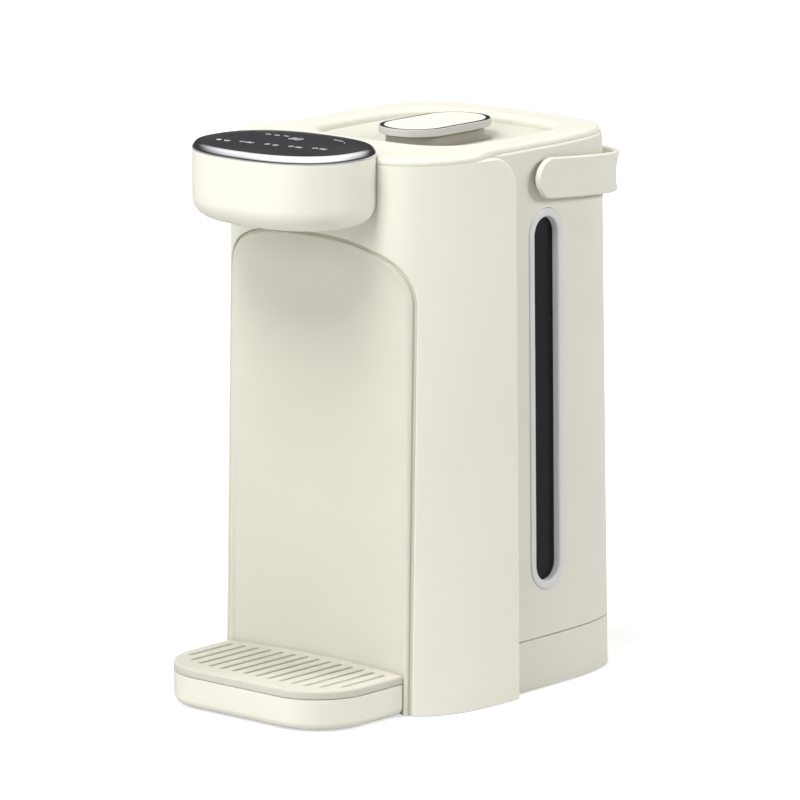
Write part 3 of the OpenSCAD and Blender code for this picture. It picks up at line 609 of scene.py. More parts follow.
def woven(
    name: str,
    rows: Sequence[Array],
    round_rows: bool = False,
    round_columns: bool = True,
    cap_rows: bool = True,
    cap_columns: bool = False,
) -> Piece:
    """Joins rows of points into a skin of quads.

    Args:
        name: Name of the object.
        rows: Rows with the same number of points each.
        round_rows: Whether the last row joins the first.
        round_columns: Whether each row's last point joins its first.
        cap_rows: Whether the first and the last row are filled, if the rows don't go round.
        cap_columns: Whether the first and the last column are filled, if the columns don't go round.

    Returns:
        The object, linked to the scene.
    """
    points = np.concatenate(rows)
    high, wide = len(rows), len(rows[0])
    faces: list[Sequence[int]] = []
    for r in range(high if round_rows else high - 1):
        for c in range(wide if round_columns else wide - 1):
            low, up = r * wide, (r + 1) % high * wide
            nxt = (c + 1) % wide
            faces.append((low + c, low + nxt, up + nxt, up + c))
    if cap_rows and not round_rows:
        faces.append(tuple(range(wide))[::-1])
        faces.append(tuple((high - 1) * wide + c for c in range(wide)))
    if cap_columns and not round_columns:
        faces.append(tuple(r * wide for r in range(high)))
        faces.append(tuple(r * wide + wide - 1 for r in range(high))[::-1])
    return mesh_object(name, points, faces)


def turned(
    name: str, outline: Outline, profile: Profile, base: float = 0.0, round_rows: bool = False
) -> Piece:
    """Skin of an outline that is drawn in and lifted along a profile.

    Args:
        name: Name of the object.
        outline: Gives the outline for an inset.
        profile: Inset and height of each step.
        base: Height that the profile stands on.
        round_rows: Whether the last step joins the first.

    Returns:
        The object, linked to the scene.
    """
    return woven(name, [lifted(outline(inset), base + z) for inset, z in profile], round_rows)


def baked(obj: Piece) -> Piece:
    """Turns an object's modifiers into its plain mesh."""
    evaluated = obj.evaluated_get(bpy.context.evaluated_depsgraph_get())
    mesh = bpy.data.meshes.new_from_object(evaluated)
    mesh.name = obj.name
    obj.modifiers.clear()
    old, obj.data = obj.data, mesh
    bpy.data.meshes.remove(old)
    return obj


def cut(obj: Piece, *cutters: Piece) -> Piece:
    """Takes closed cutters away from a closed object and removes them."""
    for cutter in cutters:
        step = obj.modifiers.new("cut", "BOOLEAN")
        step.operation = "DIFFERENCE"
        step.solver = "EXACT"
        step.object = cutter
        baked(obj)
        bpy.data.objects.remove(cutter)
    return obj


def shaded(obj: Piece, sharp: float = 32.0) -> Piece:
    """Shades an object smoothly, with edges past an angle left sharp."""
    obj.data.shade_smooth()
    obj.data.set_sharp_from_angle(angle=math.radians(sharp))
    step = obj.modifiers.new("even_normals", "WEIGHTED_NORMAL")
    step.keep_sharp = True
    step.weight = 80
    return obj


def dressed(
    obj: Piece,
    body: Body,
    slot: Slot,
    finish: Finish | None = None,
    replaces: Sequence[str] = (),
    sharp: float = 32.0,
) -> Piece:
    """Gives a piece its finish, its shading and its body.

    Args:
        obj: The finished piece.
        body: Body that it rides on.
        slot: Record slot that its finish belongs to.
        finish: Finish, if it isn't the slot's own.
        replaces: CAD nodes that it stands for.
        sharp: Angle in degrees past which an edge stays sharp.

    Returns:
        The piece.
    """
    obj.data.materials.clear()
    obj.data.materials.append((finish or FINISHES[slot]).material())
    shaded(obj, sharp)
    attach(obj, body.value)
    if replaces:
        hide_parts(*replaces)
    log.info("%s: %d faces on %s", obj.name, len(obj.data.polygons), body.value)
    return obj


# --------------------------------------------------------------------- casing


@dataclass(frozen=True)
class Casing:
    """Drafted outlines that the front shell, the housing and the top frame share."""

    front_a: float = 95.4
    front_b: float = 96.6
    front_n: float = 3.53
    rear_a: float = 88.0
    rear_b: float = 116.0
    rear_n: float = 4.5
    draft: float = 0.75
    body_h: float = 331.0
    wall: float = 2.8
    foot_h: float = 1.0
    seam_h: float = 32.0
    cheek_reach: float = 38.0
    narrow_from: float = 45.0
    narrow_to: float = 12.0
    frame_step: float = 1.2

    @property
    def slope(self) -> float:
        """Draft as a slope."""
        return math.tan(math.radians(self.draft))

    @property
    def half_d(self) -> float:
        """Half depth that the draft along Y is measured over."""
        return (self.front_b + self.rear_b) / 2

    def kx(self, z: float | Array, a: float) -> float | Array:
        """Share of a half width that is left at a height."""
        return 1 - z * self.slope / a

    def ky(self, z: float | Array) -> float | Array:
        """Share of a depth that is left at a height."""
        return 1 - z * self.slope / self.half_d

    def drafted(self, angles: Array, z: float | Array, a: float, b: float, n: float, inset: float) -> Array:
        """Points of a drafted superellipse at a height."""
        p = super_points(angles, a - inset, b - inset, n)
        return np.stack([p[..., 0] * self.kx(z, a), p[..., 1] * self.ky(z)], axis=-1)

    def front(self, angles: Array, z: float | Array, inset: float = 0.0) -> Array:
        """Points of the front outline at a height."""
        return self.drafted(angles, z, self.front_a, self.front_b, self.front_n, inset)

    def rear(self, angles: Array, z: float | Array, inset: float = 0.0) -> Array:
        """Points of the rear outline at a height."""
        return self.drafted(angles, z, self.rear_a, self.rear_b, self.rear_n, inset)

    def rear_with_cheeks(self, z: float, inset: float, steps: int = 6, count: int = 181) -> Array:
        """Rear outline with straight cheeks that run forward on both sides."""
        angles = even_angles(self.rear_a, self.rear_b, self.rear_n, 0, 180, count)
        x = (self.rear_a - inset) * self.kx(z, self.rear_a)
        y = np.linspace(-self.cheek_reach, 0, steps, endpoint=False) * self.ky(z)
        right = np.stack([np.full(steps, x), y], axis=-1)
        left = right[::-1] * np.array([-1, 1])
        return np.concatenate([right, self.rear(angles, z, inset), left])

    def frame(self, z: float, inset: float, count: int = 161) -> Array:
        """Outline of the top frame, which runs from the shell's width into the housing's."""
        back = even_angles(self.rear_a, self.rear_b, self.rear_n, 0, 180, count)[:-1]
        ahead = even_angles(self.front_a, self.front_b, self.front_n, 180, 360, count)[:-1]
        rear = self.rear(back, z, inset + self.frame_step)
        front = self.front(ahead, z, inset)
        ratio = (self.rear_a - self.frame_step) * self.kx(z, self.rear_a)
        ratio /= self.front_a * self.kx(z, self.front_a)
        front[:, 0] *= 1 - (1 - ratio) * ease(front[:, 1], -self.narrow_from, -self.narrow_to)
        return np.concatenate([rear, front])


CASING = Casing()


@dataclass(frozen=True)
class Arch:
    """Outline of the cup niche, seen from the front."""

    half_w: float = 74.2
    spring: float = 244.0
    rise: float = 42.0
    n: float = 2.66
    side_count: int = 30
    arc_count: int = 141

    def outline(self, inset: float = 0.0, low: float = 1.0) -> Array:
        """X, Z points from the lower left corner over the top to the lower right corner."""
        a, c = self.half_w - inset, self.rise - inset
        angles = even_angles(self.half_w, self.rise, self.n, 180, 0, self.arc_count)
        arc = super_points(angles, a, c, self.n) + np.array([0, self.spring])
        z = np.linspace(low, self.spring, self.side_count, endpoint=False)
        left = np.stack([np.full(len(z), -a), z], axis=-1)
        return np.concatenate([left, arc, left[::-1] * np.array([-1, 1])])


ARCH = Arch()


@dataclass(frozen=True)
class FrontShell:
    """Front casing: one drafted skin round the arched niche, with folded edges."""

    rear_edge: float = 7.0
    corner_r: float = 20.0
    arch_round: float = 1.3
    edge_round: float = 0.7
    rear_round: float = 2.2
    back_lip: float = 6.9
    top_lip: float = 2.6
    lip_t: float = 2.4
    wall_end: float = 74.3
    skin_rows: int = 22
    clear: float = 0.06
    table_points: int = 12001
    side_over: float = 12.0
    side_step: float = 8.0
    up_points: int = 60
    corner_points: int = 400
    over_points: int = 900

    def table(self) -> tuple[Array, Array]:
        """Parameter angles and lengths along the front outline at the base."""
        angles = np.linspace(180, 360, self.table_points)
        step = np.diff(CASING.front(angles, 0.0), axis=0)
        return angles, np.concatenate([[0], np.cumsum(np.hypot(step[:, 0], step[:, 1]))])

    def along_at_y(self, ahead: Array, z: Array, left: bool) -> Array:
        """Length along the outline where it stands a distance ahead of the cross plane."""
        angles, lengths = self.table()
        t = np.degrees(np.arcsin((ahead / (CASING.front_b * CASING.ky(z))) ** (CASING.front_n / 2)))
        return np.interp(180 + t if left else 360 - t, angles, lengths)

    def along_at_x(self, x: Array, z: Array) -> Array:
        """Length along the outline where it is at a distance from the middle."""
        angles, lengths = self.table()
        share = np.abs(x) / (CASING.front_a * CASING.kx(z, CASING.front_a))
        c = np.sign(x) * np.clip(share, 0, 1) ** (CASING.front_n / 2)
        return np.interp(360 - np.degrees(np.arccos(c)), angles, lengths)

    def skin(self, flat: Array, depth: float | Array = 0.0) -> Array:
        """Points of the drafted skin.

        Args:
            flat: Length along the outline and height, in pairs.
            depth: How far behind the skin the points lie.

        Returns:
            X, Y, Z points.
        """
        angles, lengths = self.table()
        t = np.interp(flat[:, 0], lengths, angles)
        z = flat[:, 1]
        p = CASING.front(t, z)
        a = CASING.front_a * CASING.kx(z, CASING.front_a)
        b = CASING.front_b * CASING.ky(z)
        power = CASING.front_n - 1
        nx = signed_power(p[:, 0] / a, power) / a
        ny = signed_power(p[:, 1] / b, power) / b
        size = np.hypot(nx, ny)
        depth = np.broadcast_to(depth, z.shape) + self.clear
        return np.stack([p[:, 0] - nx / size * depth, p[:, 1] - ny / size * depth, z], axis=-1)

    def side_line(self, ahead: Array, z: Array, left: bool) -> Array:
        """Flat points of a side, upwards on the left and downwards on the right."""
        line = np.stack([self.along_at_y(ahead, z, left), z], axis=-1)
        return line if left else line[::-1]

    def arch_flat(self, inset: float) -> Array:
        """The arch as lengths along the outline and heights."""
        p = ARCH.outline(inset, CASING.foot_h)
        return np.stack([self.along_at_x(p[:, 0], p[:, 1]), p[:, 1]], axis=-1)

    def rim_flat(self) -> Array:
        """The shell's rear and top edges as lengths along the outline and heights."""
        top = CASING.body_h
        shoulder = top - self.corner_r
        z_side = np.linspace(CASING.foot_h, ARCH.spring + self.side_over, ARCH.side_count, endpoint=False)
        t = np.radians(np.linspace(0, 90, self.corner_points))
        z_arc = shoulder + self.corner_r * np.sin(t)
        ahead = self.rear_edge + self.corner_r * (1 - np.cos(t))
        z_up = np.linspace(z_side[-1] + self.side_step, shoulder, self.up_points, endpoint=False)
        z_rest = np.concatenate([z_up, z_arc])
        y_rest = np.concatenate([np.full(self.up_points, self.rear_edge), ahead])
        left, right = (self.side_line(y_rest, z_rest, left) for left in (True, False))
        bar = np.linspace(0, 1, self.over_points)[1:-1, None]
        over = left[-1] * (1 - bar) + right[0] * bar
        rest = even_points(np.concatenate([left, over, right]), ARCH.arc_count)
        edge = np.full(len(z_side), self.rear_edge)
        return np.concatenate([self.side_line(edge, z_side, True), rest, self.side_line(edge, z_side, False)])

    def build(self) -> Piece:
        """Makes the shell as one closed skin with its folded edges."""
        arch_edge, arch_near = self.arch_flat(0.0), self.arch_flat(-self.arch_round)
        rim = self.rim_flat()
        rim_point = self.skin(rim)
        y = np.abs(rim_point[:, 1])
        share = np.clip((y - CASING.narrow_to) / (CASING.narrow_from + 6 - CASING.narrow_to), 0, 1)
        edge_round = self.rear_round + (self.edge_round - self.rear_round) * share
        away = arch_near - rim
        away /= np.linalg.norm(away, axis=1)[:, None]
        rim_near = rim + away * edge_round[:, None]
        rim_lip = rim + away * self.lip_t
        shares = np.linspace(0, 1, self.skin_rows)[:, None, None]
        outer = list(arch_near[None] * (1 - shares) + rim_near[None] * shares)
        inner = list(arch_near[None] * (1 - shares) + rim_lip[None] * shares)[::-1]

        edge = self.skin(arch_edge)
        wall_near = edge + np.array([0, self.arch_round, 0])
        wall_end = edge.copy()
        wall_end[:, 1] = -self.wall_end
        wall_near[:, 1] = np.minimum(wall_near[:, 1], wall_end[:, 1])
        rows = [wall_end, *bent(wall_near, edge, self.skin(arch_near))]
        rows += [self.skin(flat) for flat in outer[1:]]

        lip = self.back_lip + (self.top_lip - self.back_lip) * share
        rows += bent(rows[-1], rim_point, self.skin(rim, edge_round))[1:]
        rows.append(self.skin(rim, lip))
        rows.append(self.skin(rim_lip, lip))
        rows += [self.skin(flat, CASING.wall) for flat in inner]
        back = self.skin(self.arch_flat(-self.lip_t), CASING.wall)
        lip_end = back.copy()
        lip_end[:, 1] = np.maximum(back[:, 1], -self.wall_end)
        rows.append(lip_end)
        return woven("front_shell_skin", rows, round_rows=True, round_columns=False, cap_columns=True)


@dataclass(frozen=True)
class NichePanel:
    """Panel of the cup niche: hollow at its foot, swept forward to the arch's top, with a beaded edge."""

    gap: float = 1.8
    radius: float = 328.0
    ahead: float = 76.8
    sink: float = 0.4
    bead_w: float = 6.0
    bead_rings: int = 9
    sweep: float = 3.0
    edge_round: float = 0.8
    groove_depth: float = 1.8
    groove_reach: float = 1.5
    rim_depth: float = 7.0
    columns: int = 40

    def hollow(self, x: Array, z: Array | float) -> Array:
        """How far ahead of the cross plane the hollow stands."""
        return self.ahead + self.radius - np.sqrt(self.radius**2 - x * x) - z * CASING.slope

    def rim(self, x: Array, z: Array) -> Array:
        """How far ahead the panel's edge stands, just behind the shell's surface."""
        share = np.abs(x) / (CASING.front_a * CASING.kx(z, CASING.front_a))
        left = (1 - share**CASING.front_n) ** (1 / CASING.front_n)
        return CASING.front_b * CASING.ky(z) * left - self.sink

    def front(self, x: Array, z: Array, inset: float | None = None) -> Array:
        """How far ahead the panel's front stands.

        Args:
            x: Distance from the middle.
            z: Height.
            inset: Distance from the panel's edge, where the bead counts.

        Returns:
            Distance ahead of the cross plane.
        """
        hollow = self.hollow(x, z)
        rim = self.rim(x, z)
        face = hollow + (rim - hollow) * (z / (ARCH.spring + ARCH.rise)) ** self.sweep
        return rim + (face - rim) * (1.0 if inset is None else ease(inset, 0.0, self.bead_w))

    def ring(self, inset: float, back: float) -> Array:
        """Points along the arch, drawn in and set behind the front."""
        p = ARCH.outline(self.gap + inset, CASING.foot_h)
        return np.stack([p[:, 0], back - self.front(p[:, 0], p[:, 1], inset), p[:, 1]], axis=-1)

    def build(self) -> Piece:
        """Makes the panel from rows that run from its left edge to its right edge."""
        reach = self.groove_reach
        rings = [self.ring(-reach, self.rim_depth), self.ring(-reach, self.groove_depth + 0.4)]
        rings += [self.ring(-reach * 0.6, self.groove_depth), self.ring(0.0, self.groove_depth - 0.3)]
        rings += [self.ring(inset, drop) for inset, drop in quarter(self.edge_round, 5)]
        insets = np.linspace(self.edge_round, self.bead_w, self.bead_rings)[1:]
        rings += [self.ring(inset, 0.0) for inset in insets]
        half = len(rings[0]) // 2 + 1
        rows = []
        for i in range(half):
            left = [ring[i] for ring in rings]
            right = [ring[-1 - i] for ring in rings][::-1]
            share = np.linspace(0, 1, self.columns)[1:-1, None]
            flat = left[-1] * (1 - share) + right[0] * share
            flat[:, 1] = -self.front(flat[:, 0], flat[:, 2])
            rows.append(np.concatenate([left, flat, right]))
        return woven("niche_panel_skin", rows)


@dataclass(frozen=True)
class RearHousing:
    """Side and rear casing above the seam, with the window hole."""

    seam_gap: float = 0.4
    seam_round: float = 0.4
    top_round: float = 1.5
    bush_r: float = 8.05
    pivot_y: float = 27.8
    pivot_z: float = 312.5

    def build(self) -> Piece:
        """Makes the band and cuts its holes."""
        low, top = CASING.seam_h + self.seam_gap, CASING.body_h
        profile = [(low, self.seam_round), (low + self.seam_round, 0.0)]
        profile += [(z, 0.0) for z in np.linspace(low + 4, top - self.top_round - 2, 8)]
        profile += [(top - drop, inset) for inset, drop in quarter(self.top_round)]
        profile += [(top, CASING.wall), (low, CASING.wall)]
        rows = [lifted(CASING.rear_with_cheeks(z, inset), z) for z, inset in profile]
        band = woven("rear_housing_skin", rows, round_rows=True, round_columns=False, cap_columns=True)
        return cut(band, WINDOW.hole_cutter(), self.pivot_cutter())

    def pivot_cutter(self) -> Piece:
        """A rod across the casing where the handle's bushes sit."""
        ring = circle(self.bush_r, 48) + np.array([self.pivot_y, self.pivot_z])
        return woven("pivot_cutter", [np.column_stack([np.full(48, x), ring]) for x in (-120.0, 120.0)])


@dataclass(frozen=True)
class TopFrame:
    """Rounded rim on the casing, round the square well of the lid."""

    rise: float = 4.0
    under: float = 0.08
    edge_round: float = 3.0
    well_a: float = 60.5
    well_n: float = 3.8
    well_round: float = 3.4
    well_wall: float = 2.4
    pot_y: float = 24.0
    mouth_r: float = 56.0
    ledge_drop: float = 12.5
    ledge_t: float = 2.5

    def well(self, grow: float) -> Array:
        """Outline of the well, grown outwards."""
        angles = even_angles(self.well_a, self.well_a, self.well_n, 0, 360, 321)[:-1]
        p = super_points(angles, self.well_a + grow, self.well_a + grow, self.well_n)
        return p + np.array([0, self.pot_y])

    def mouth(self) -> Array:
        """Outline of the round filling mouth, with its points facing the well's."""
        p = self.well(0.0) - np.array([0, self.pot_y])
        return p / np.linalg.norm(p, axis=1)[:, None] * self.mouth_r + np.array([0, self.pot_y])

    def build(self) -> Piece:
        """Makes the frame as one closed band."""
        top = CASING.body_h + self.rise
        low = CASING.body_h + self.under
        ledge = top - self.ledge_drop
        rows = [lifted(CASING.frame(low, 0.25), low), lifted(CASING.frame(low, 0.12), low + 0.12)]
        for inset, drop in quarter(self.edge_round, 8):
            rows.append(lifted(CASING.frame(low, 0.12 + inset), top - drop))
        rows.append(lifted(CASING.frame(low, 0.12 + self.edge_round + 1.0), top))
        rows.append(lifted(self.well(self.well_round + 1.0), top))
        for inset, drop in quarter(self.well_round, 8)[::-1]:
            rows.append(lifted(self.well(inset), top - drop))
        rows.append(lifted(self.well(0.0), ledge))
        rows.append(lifted(self.mouth(), ledge))
        rows.append(lifted(self.mouth(), ledge - self.ledge_t))
        rows.append(lifted(self.well(self.well_wall), ledge - self.ledge_t))
        rows.append(lifted(self.well(self.well_wall), low))
        return woven("top_frame_skin", rows, round_rows=True)


TOP = TopFrame()


@dataclass(frozen=True)
class LevelWindow:
    """Level window on the right wall: a pale bezel round a sunken black lens."""

    width: float = 32.0
    low: float = 61.0
    high: float = 294.0
    rim: float = 5.3
    lens_depth: float = 4.0
    lens_t: float = 1.6
    hole_room: float = 0.15
    middle_y: float = 27.8

    def on_wall(self, outward: float, outline: Array) -> Array:
        """Points on the leaning right wall.

        Args:
            outward: Distance out of the wall.
            outline: Pairs along the wall's Y and height.

        Returns:
            X, Y, Z points.
        """
        lean = math.radians(CASING.draft)
        z = outline[:, 1] + (self.low + self.high) / 2
        x = CASING.rear_a + outward * math.cos(lean) - z * math.sin(lean)
        up = outward * math.sin(lean) + z * math.cos(lean)
        return np.stack([x, outline[:, 0] + self.middle_y, up], axis=-1)

    def outline(self, inset: float) -> Array:
        """Stadium outline of the bezel, drawn in."""
        return stadium(self.width / 2, (self.high - self.low) / 2, inset, 48)

    def skin(self, name: str, profile: Profile, round_rows: bool = False) -> Piece:
        """Skin of the stadium along a profile of insets and distances out of the wall."""
        rows = [self.on_wall(out, self.outline(inset)) for inset, out in profile]
        return woven(name, rows, round_rows)

    def hole_cutter(self) -> Piece:
        """Solid that opens the housing for the bezel."""
        return self.skin("window_cutter", [(-self.hole_room, out) for out in (-12.0, 12.0)])

    def bezel(self) -> Piece:
        """The bezel's ring with its crowned rim."""
        back = -(self.lens_depth + self.lens_t)
        rim = self.rim
        profile = [
            (0.0, back), (0.0, -0.35), (0.08, 0.1), (0.35, 0.42), (0.8, 0.58), (1.6, 0.62),
            (rim - 1.6, 0.62), (rim - 0.75, 0.5), (rim - 0.3, 0.15), (rim - 0.05, -0.35),
            (rim + 0.05, -self.lens_depth), (rim - 1.5, -self.lens_depth), (rim - 1.5, back),
        ]
        return self.skin("window_bezel", profile, round_rows=True)

    def lens(self) -> Piece:
        """The flat lens plate."""
        inset = self.rim - 1.4
        profile = [
            (inset, -(self.lens_depth + self.lens_t)), (inset, -self.lens_depth - 0.1),
            (inset + 0.1, -self.lens_depth - 0.02), (self.rim + 1.6, -self.lens_depth - 0.02),
        ]
        return self.skin("window_lens_plate", profile)


WINDOW = LevelWindow()


# ----------------------------------------------------------------------- head


class Mark(Enum):
    """Generic marks on the control glass."""

    DROP = "drop"
    LOCK = "lock"
    CUP = "cup"
    HEAT = "heat"
    POWER = "power"
    BAR = "bar"
    DOT = "dot"


SEGMENTS = {
    "0": "abcdef", "1": "bc", "2": "abdeg", "3": "abcdg", "4": "bcfg",
    "5": "acdfg", "6": "acdefg", "7": "abc", "8": "abcdefg", "9": "abcdfg",
}


Strokes = Sequence[tuple[float, ...]]
WAVE = [(0.3 * math.sin(i * 1.57), i * 0.8 - 1.6) for i in range(5)]
HEAT_BARS = [(s + a, b, s + c, d, 0.4) for s in (-1.1, 0.0, 1.1) for (a, b), (c, d) in zip(WAVE, WAVE[1:])]
# Each icon's bars as x, y, x, y and a width if it isn't the usual one, then its arcs as x, y, radius,
# start and end angle.
ICONS: dict[Mark, tuple[Strokes, Strokes]] = {
    Mark.DROP: ([(0, 2.0, -1.0, 0.1), (0, 2.0, 1.0, 0.1)], [(0, -0.5, 1.2, 150, 390)]),
    Mark.LOCK: ([(-1.3, -0.7, 1.3, -0.7, 1.9)], [(0, 0.4, 0.95, 0, 180)]),
    Mark.CUP: (
        [(-1.3, 1.2, -1.0, -1.5), (-1.0, -1.5, 1.0, -1.5), (1.0, -1.5, 1.3, 1.2)],
        [(1.5, 0, 0.7, -80, 80)],
    ),
    Mark.HEAT: (HEAT_BARS, []),
    Mark.POWER: ([(0, 0.3, 0, 2.0)], [(0, -0.2, 1.5, 120, 420)]),
    Mark.BAR: ([(-1.9, 0, 1.9, 0, 0.75)], []),
}


@dataclass(frozen=True)
class MarkPrinter:
    """Draws flat marks as short bars and discs just above the control glass."""

    level: float
    line: float = 0.5
    lift: float = 0.06

    def bar(self, start: Sequence[float], end: Sequence[float], width: float | None = None) -> Array:
        """Corners of a bar between two points."""
        a, b = np.asarray(start, float), np.asarray(end, float)
        along = (b - a) / np.linalg.norm(b - a)
        side = np.array([-along[1], along[0]]) * (width or self.line) / 2
        return np.array([a - side, b - side, b + side, a + side])

    def disc(self, centre: Sequence[float], radius: float) -> Array:
        """Corners of a disc."""
        return circle(radius, 16) + np.asarray(centre, float)

    def arc(self, centre: Sequence[float], radius: float, start: float, end: float) -> list[Array]:
        """Bars along an arc."""
        t = np.radians(np.linspace(start, end, 9))
        p = np.stack([centre[0] + radius * np.cos(t), centre[1] + radius * np.sin(t)], axis=-1)
        return [self.bar(p[i], p[i + 1]) for i in range(8)]

    def digit(self, figure: str, x: float, y: float, w: float = 1.5, h: float = 2.8) -> list[Array]:
        """A plain seven-bar digit with its lower left corner at x, y."""
        places = {
            "a": ((x, y + h), (x + w, y + h)), "b": ((x + w, y + h / 2), (x + w, y + h)),
            "c": ((x + w, y), (x + w, y + h / 2)), "d": ((x, y), (x + w, y)),
            "e": ((x, y), (x, y + h / 2)), "f": ((x, y + h / 2), (x, y + h)),
            "g": ((x, y + h / 2), (x + w, y + h / 2)),
        }
        return [self.bar(*places[s], 0.42) for s in SEGMENTS[figure]]

    def number(self, text: str, x: float, y: float) -> list[Array]:
        """A plain number centred at x, y."""
        pitch = 2.5
        start = x - (len(text) * pitch - 1.0) / 2
        return [bar for i, f in enumerate(text) for bar in self.digit(f, start + i * pitch, y - 1.4)]

    def icon(self, mark: Mark, x: float, y: float) -> list[Array]:
        """A generic icon about 4 mm across, centred at x, y."""
        if mark is Mark.DOT:
            return [self.disc((x, y), 0.55)]
        bars, arcs = ICONS[mark]
        made = [self.bar((x + a, y + b), (x + c, y + d), *width) for a, b, c, d, *width in bars]
        return made + [bar for a, b, *turn in arcs for bar in self.arc((x + a, y + b), *turn)]

    def build(self, name: str, shapes: Sequence[Array]) -> Piece:
        """Joins the shapes into one thin mesh."""
        points: list[Array] = []
        faces: list[tuple[int, ...]] = []
        for shape in shapes:
            n, start = len(shape), sum(len(p) for p in points)
            points += [lifted(shape, self.level), lifted(shape, self.level + self.lift)]
            faces.append(tuple(start + i for i in range(n))[::-1])
            faces.append(tuple(start + n + i for i in range(n)))
            after = [start + (i + 1) % n for i in range(n)]
            faces += [(start + i, k, n + k, start + n + i) for i, k in enumerate(after)]
        return mesh_object(name, np.concatenate(points), faces)


@dataclass(frozen=True)
class SpoutHead:
    """Head over the niche: housing, bright ring and control glass."""

    half_w: float = 58.0
    half_d: float = 43.0
    n: float = 2.36
    ahead: float = 112.0
    low: float = 295.5
    ring_z: float = 336.5
    ring_h: float = 4.8
    ring_w: float = 3.5
    edge_round: float = 13.0
    nozzle_y: float = 128.0
    nozzle_r: float = 6.6
    seat: float = 0.3

    def ring(self, inset: float) -> Array:
        """Outline of the head, drawn in."""
        angles = even_angles(self.half_w, self.half_d, self.n, 0, 360, 241)[:-1]
        p = super_points(angles, self.half_w - inset, self.half_d - inset, self.n)
        return p - np.array([0, self.ahead])

    def body_cutter(self) -> Piece:
        """Solid of the casing and its frame, which the head sits against."""
        angles = even_angles(CASING.front_a, CASING.front_b, CASING.front_n, 180, 360, 161)
        top = CASING.body_h + TOP.rise + self.seat
        rows = [lifted(CASING.front(angles, z, -self.seat), z) for z in (250.0, CASING.body_h, top)]
        return woven("head_seat_cutter", rows)

    def nozzle_cutter(self) -> Piece:
        """Rod that opens the underside for the nozzle."""
        ring = circle(self.nozzle_r, 64) - np.array([0, self.nozzle_y])
        return woven("nozzle_cutter", [lifted(ring, z) for z in (self.low - 5, self.low + 14)])

    def housing(self) -> Piece:
        """The head's housing, cut where it meets the casing."""
        profile = [(24.0, self.low)]
        profile += [(inset, self.low + drop) for inset, drop in quarter(self.edge_round, 12)[::-1]]
        profile += [(0.0, z) for z in (self.low + 20, self.low + 30, self.ring_z - 0.5)]
        profile += [(0.12, self.ring_z - 0.2), (0.35, self.ring_z - 0.05), (self.ring_w, self.ring_z - 0.05)]
        made = turned("head_housing_skin", self.ring, profile)
        return cut(made, self.body_cutter(), self.nozzle_cutter())

    def bright_ring(self) -> Piece:
        """The ring: a short upright band below a crowned slope."""
        w, h = self.ring_w, self.ring_h
        profile = [(0.25, 0.05), (0.02, 0.3), (0.0, 0.7), (0.05, 1.3), (0.3, 1.9)]
        slope = np.linspace(0.12, 1, 9)
        profile += [(0.3 + (w - 0.9) * s, 1.9 + (h - 2.2) * math.sin(math.pi / 2 * s)) for s in slope]
        profile += [(w - 0.3, h), (w - 0.08, h - 0.12), (w, h - 0.35), (w, 0.05)]
        return turned("head_ring_band", self.ring, profile, self.ring_z, round_rows=True)

    def glass(self) -> Piece:
        """The control glass with its softened edge."""
        top = self.ring_z + self.ring_h - 0.3
        w = self.ring_w
        profile = [(w + 0.1, top - 2.2), (w + 0.1, top - 0.3), (w + 0.18, top - 0.1)]
        profile += [(w + 0.4, top), (w + 14, top)]
        return turned("control_glass_plate", self.ring, profile)

    def marks(self) -> Piece:
        """Generic marks: a front row of keys, two labels behind and a lamp at the right."""
        draw = MarkPrinter(self.ring_z + self.ring_h - 0.3)
        keys = [
            (Mark.LOCK, "45", -35.5, -126.0),
            (Mark.CUP, "60", -20.0, -122.5),
            (Mark.HEAT, "75", -2.7, -120.0),
            (Mark.DROP, "85", 13.6, -117.0),
            (Mark.POWER, "99", 28.5, -112.5),
        ]
        shapes = []
        for mark, text, x, y in keys:
            shapes += draw.icon(mark, x - 3.2, y)
            shapes += draw.number(text, x + 2.6, y)
        for x, y in ((-30.0, -92.5), (-23.5, -92.0), (-17.0, -91.0)):
            shapes += draw.icon(Mark.BAR, x, y)
        for i, figure in enumerate("88"):
            shapes += draw.digit(figure, -9.5 + i * 4.6, -97.5, 3.0, 5.2)
        shapes += draw.icon(Mark.BAR, 15.2, -82.5) + draw.icon(Mark.BAR, 19.6, -83.5)
        shapes += draw.icon(Mark.DOT, 25.8, -87.3)
        return draw.build("control_marks", shapes)


# ------------------------------------------------------------------ lid, knob


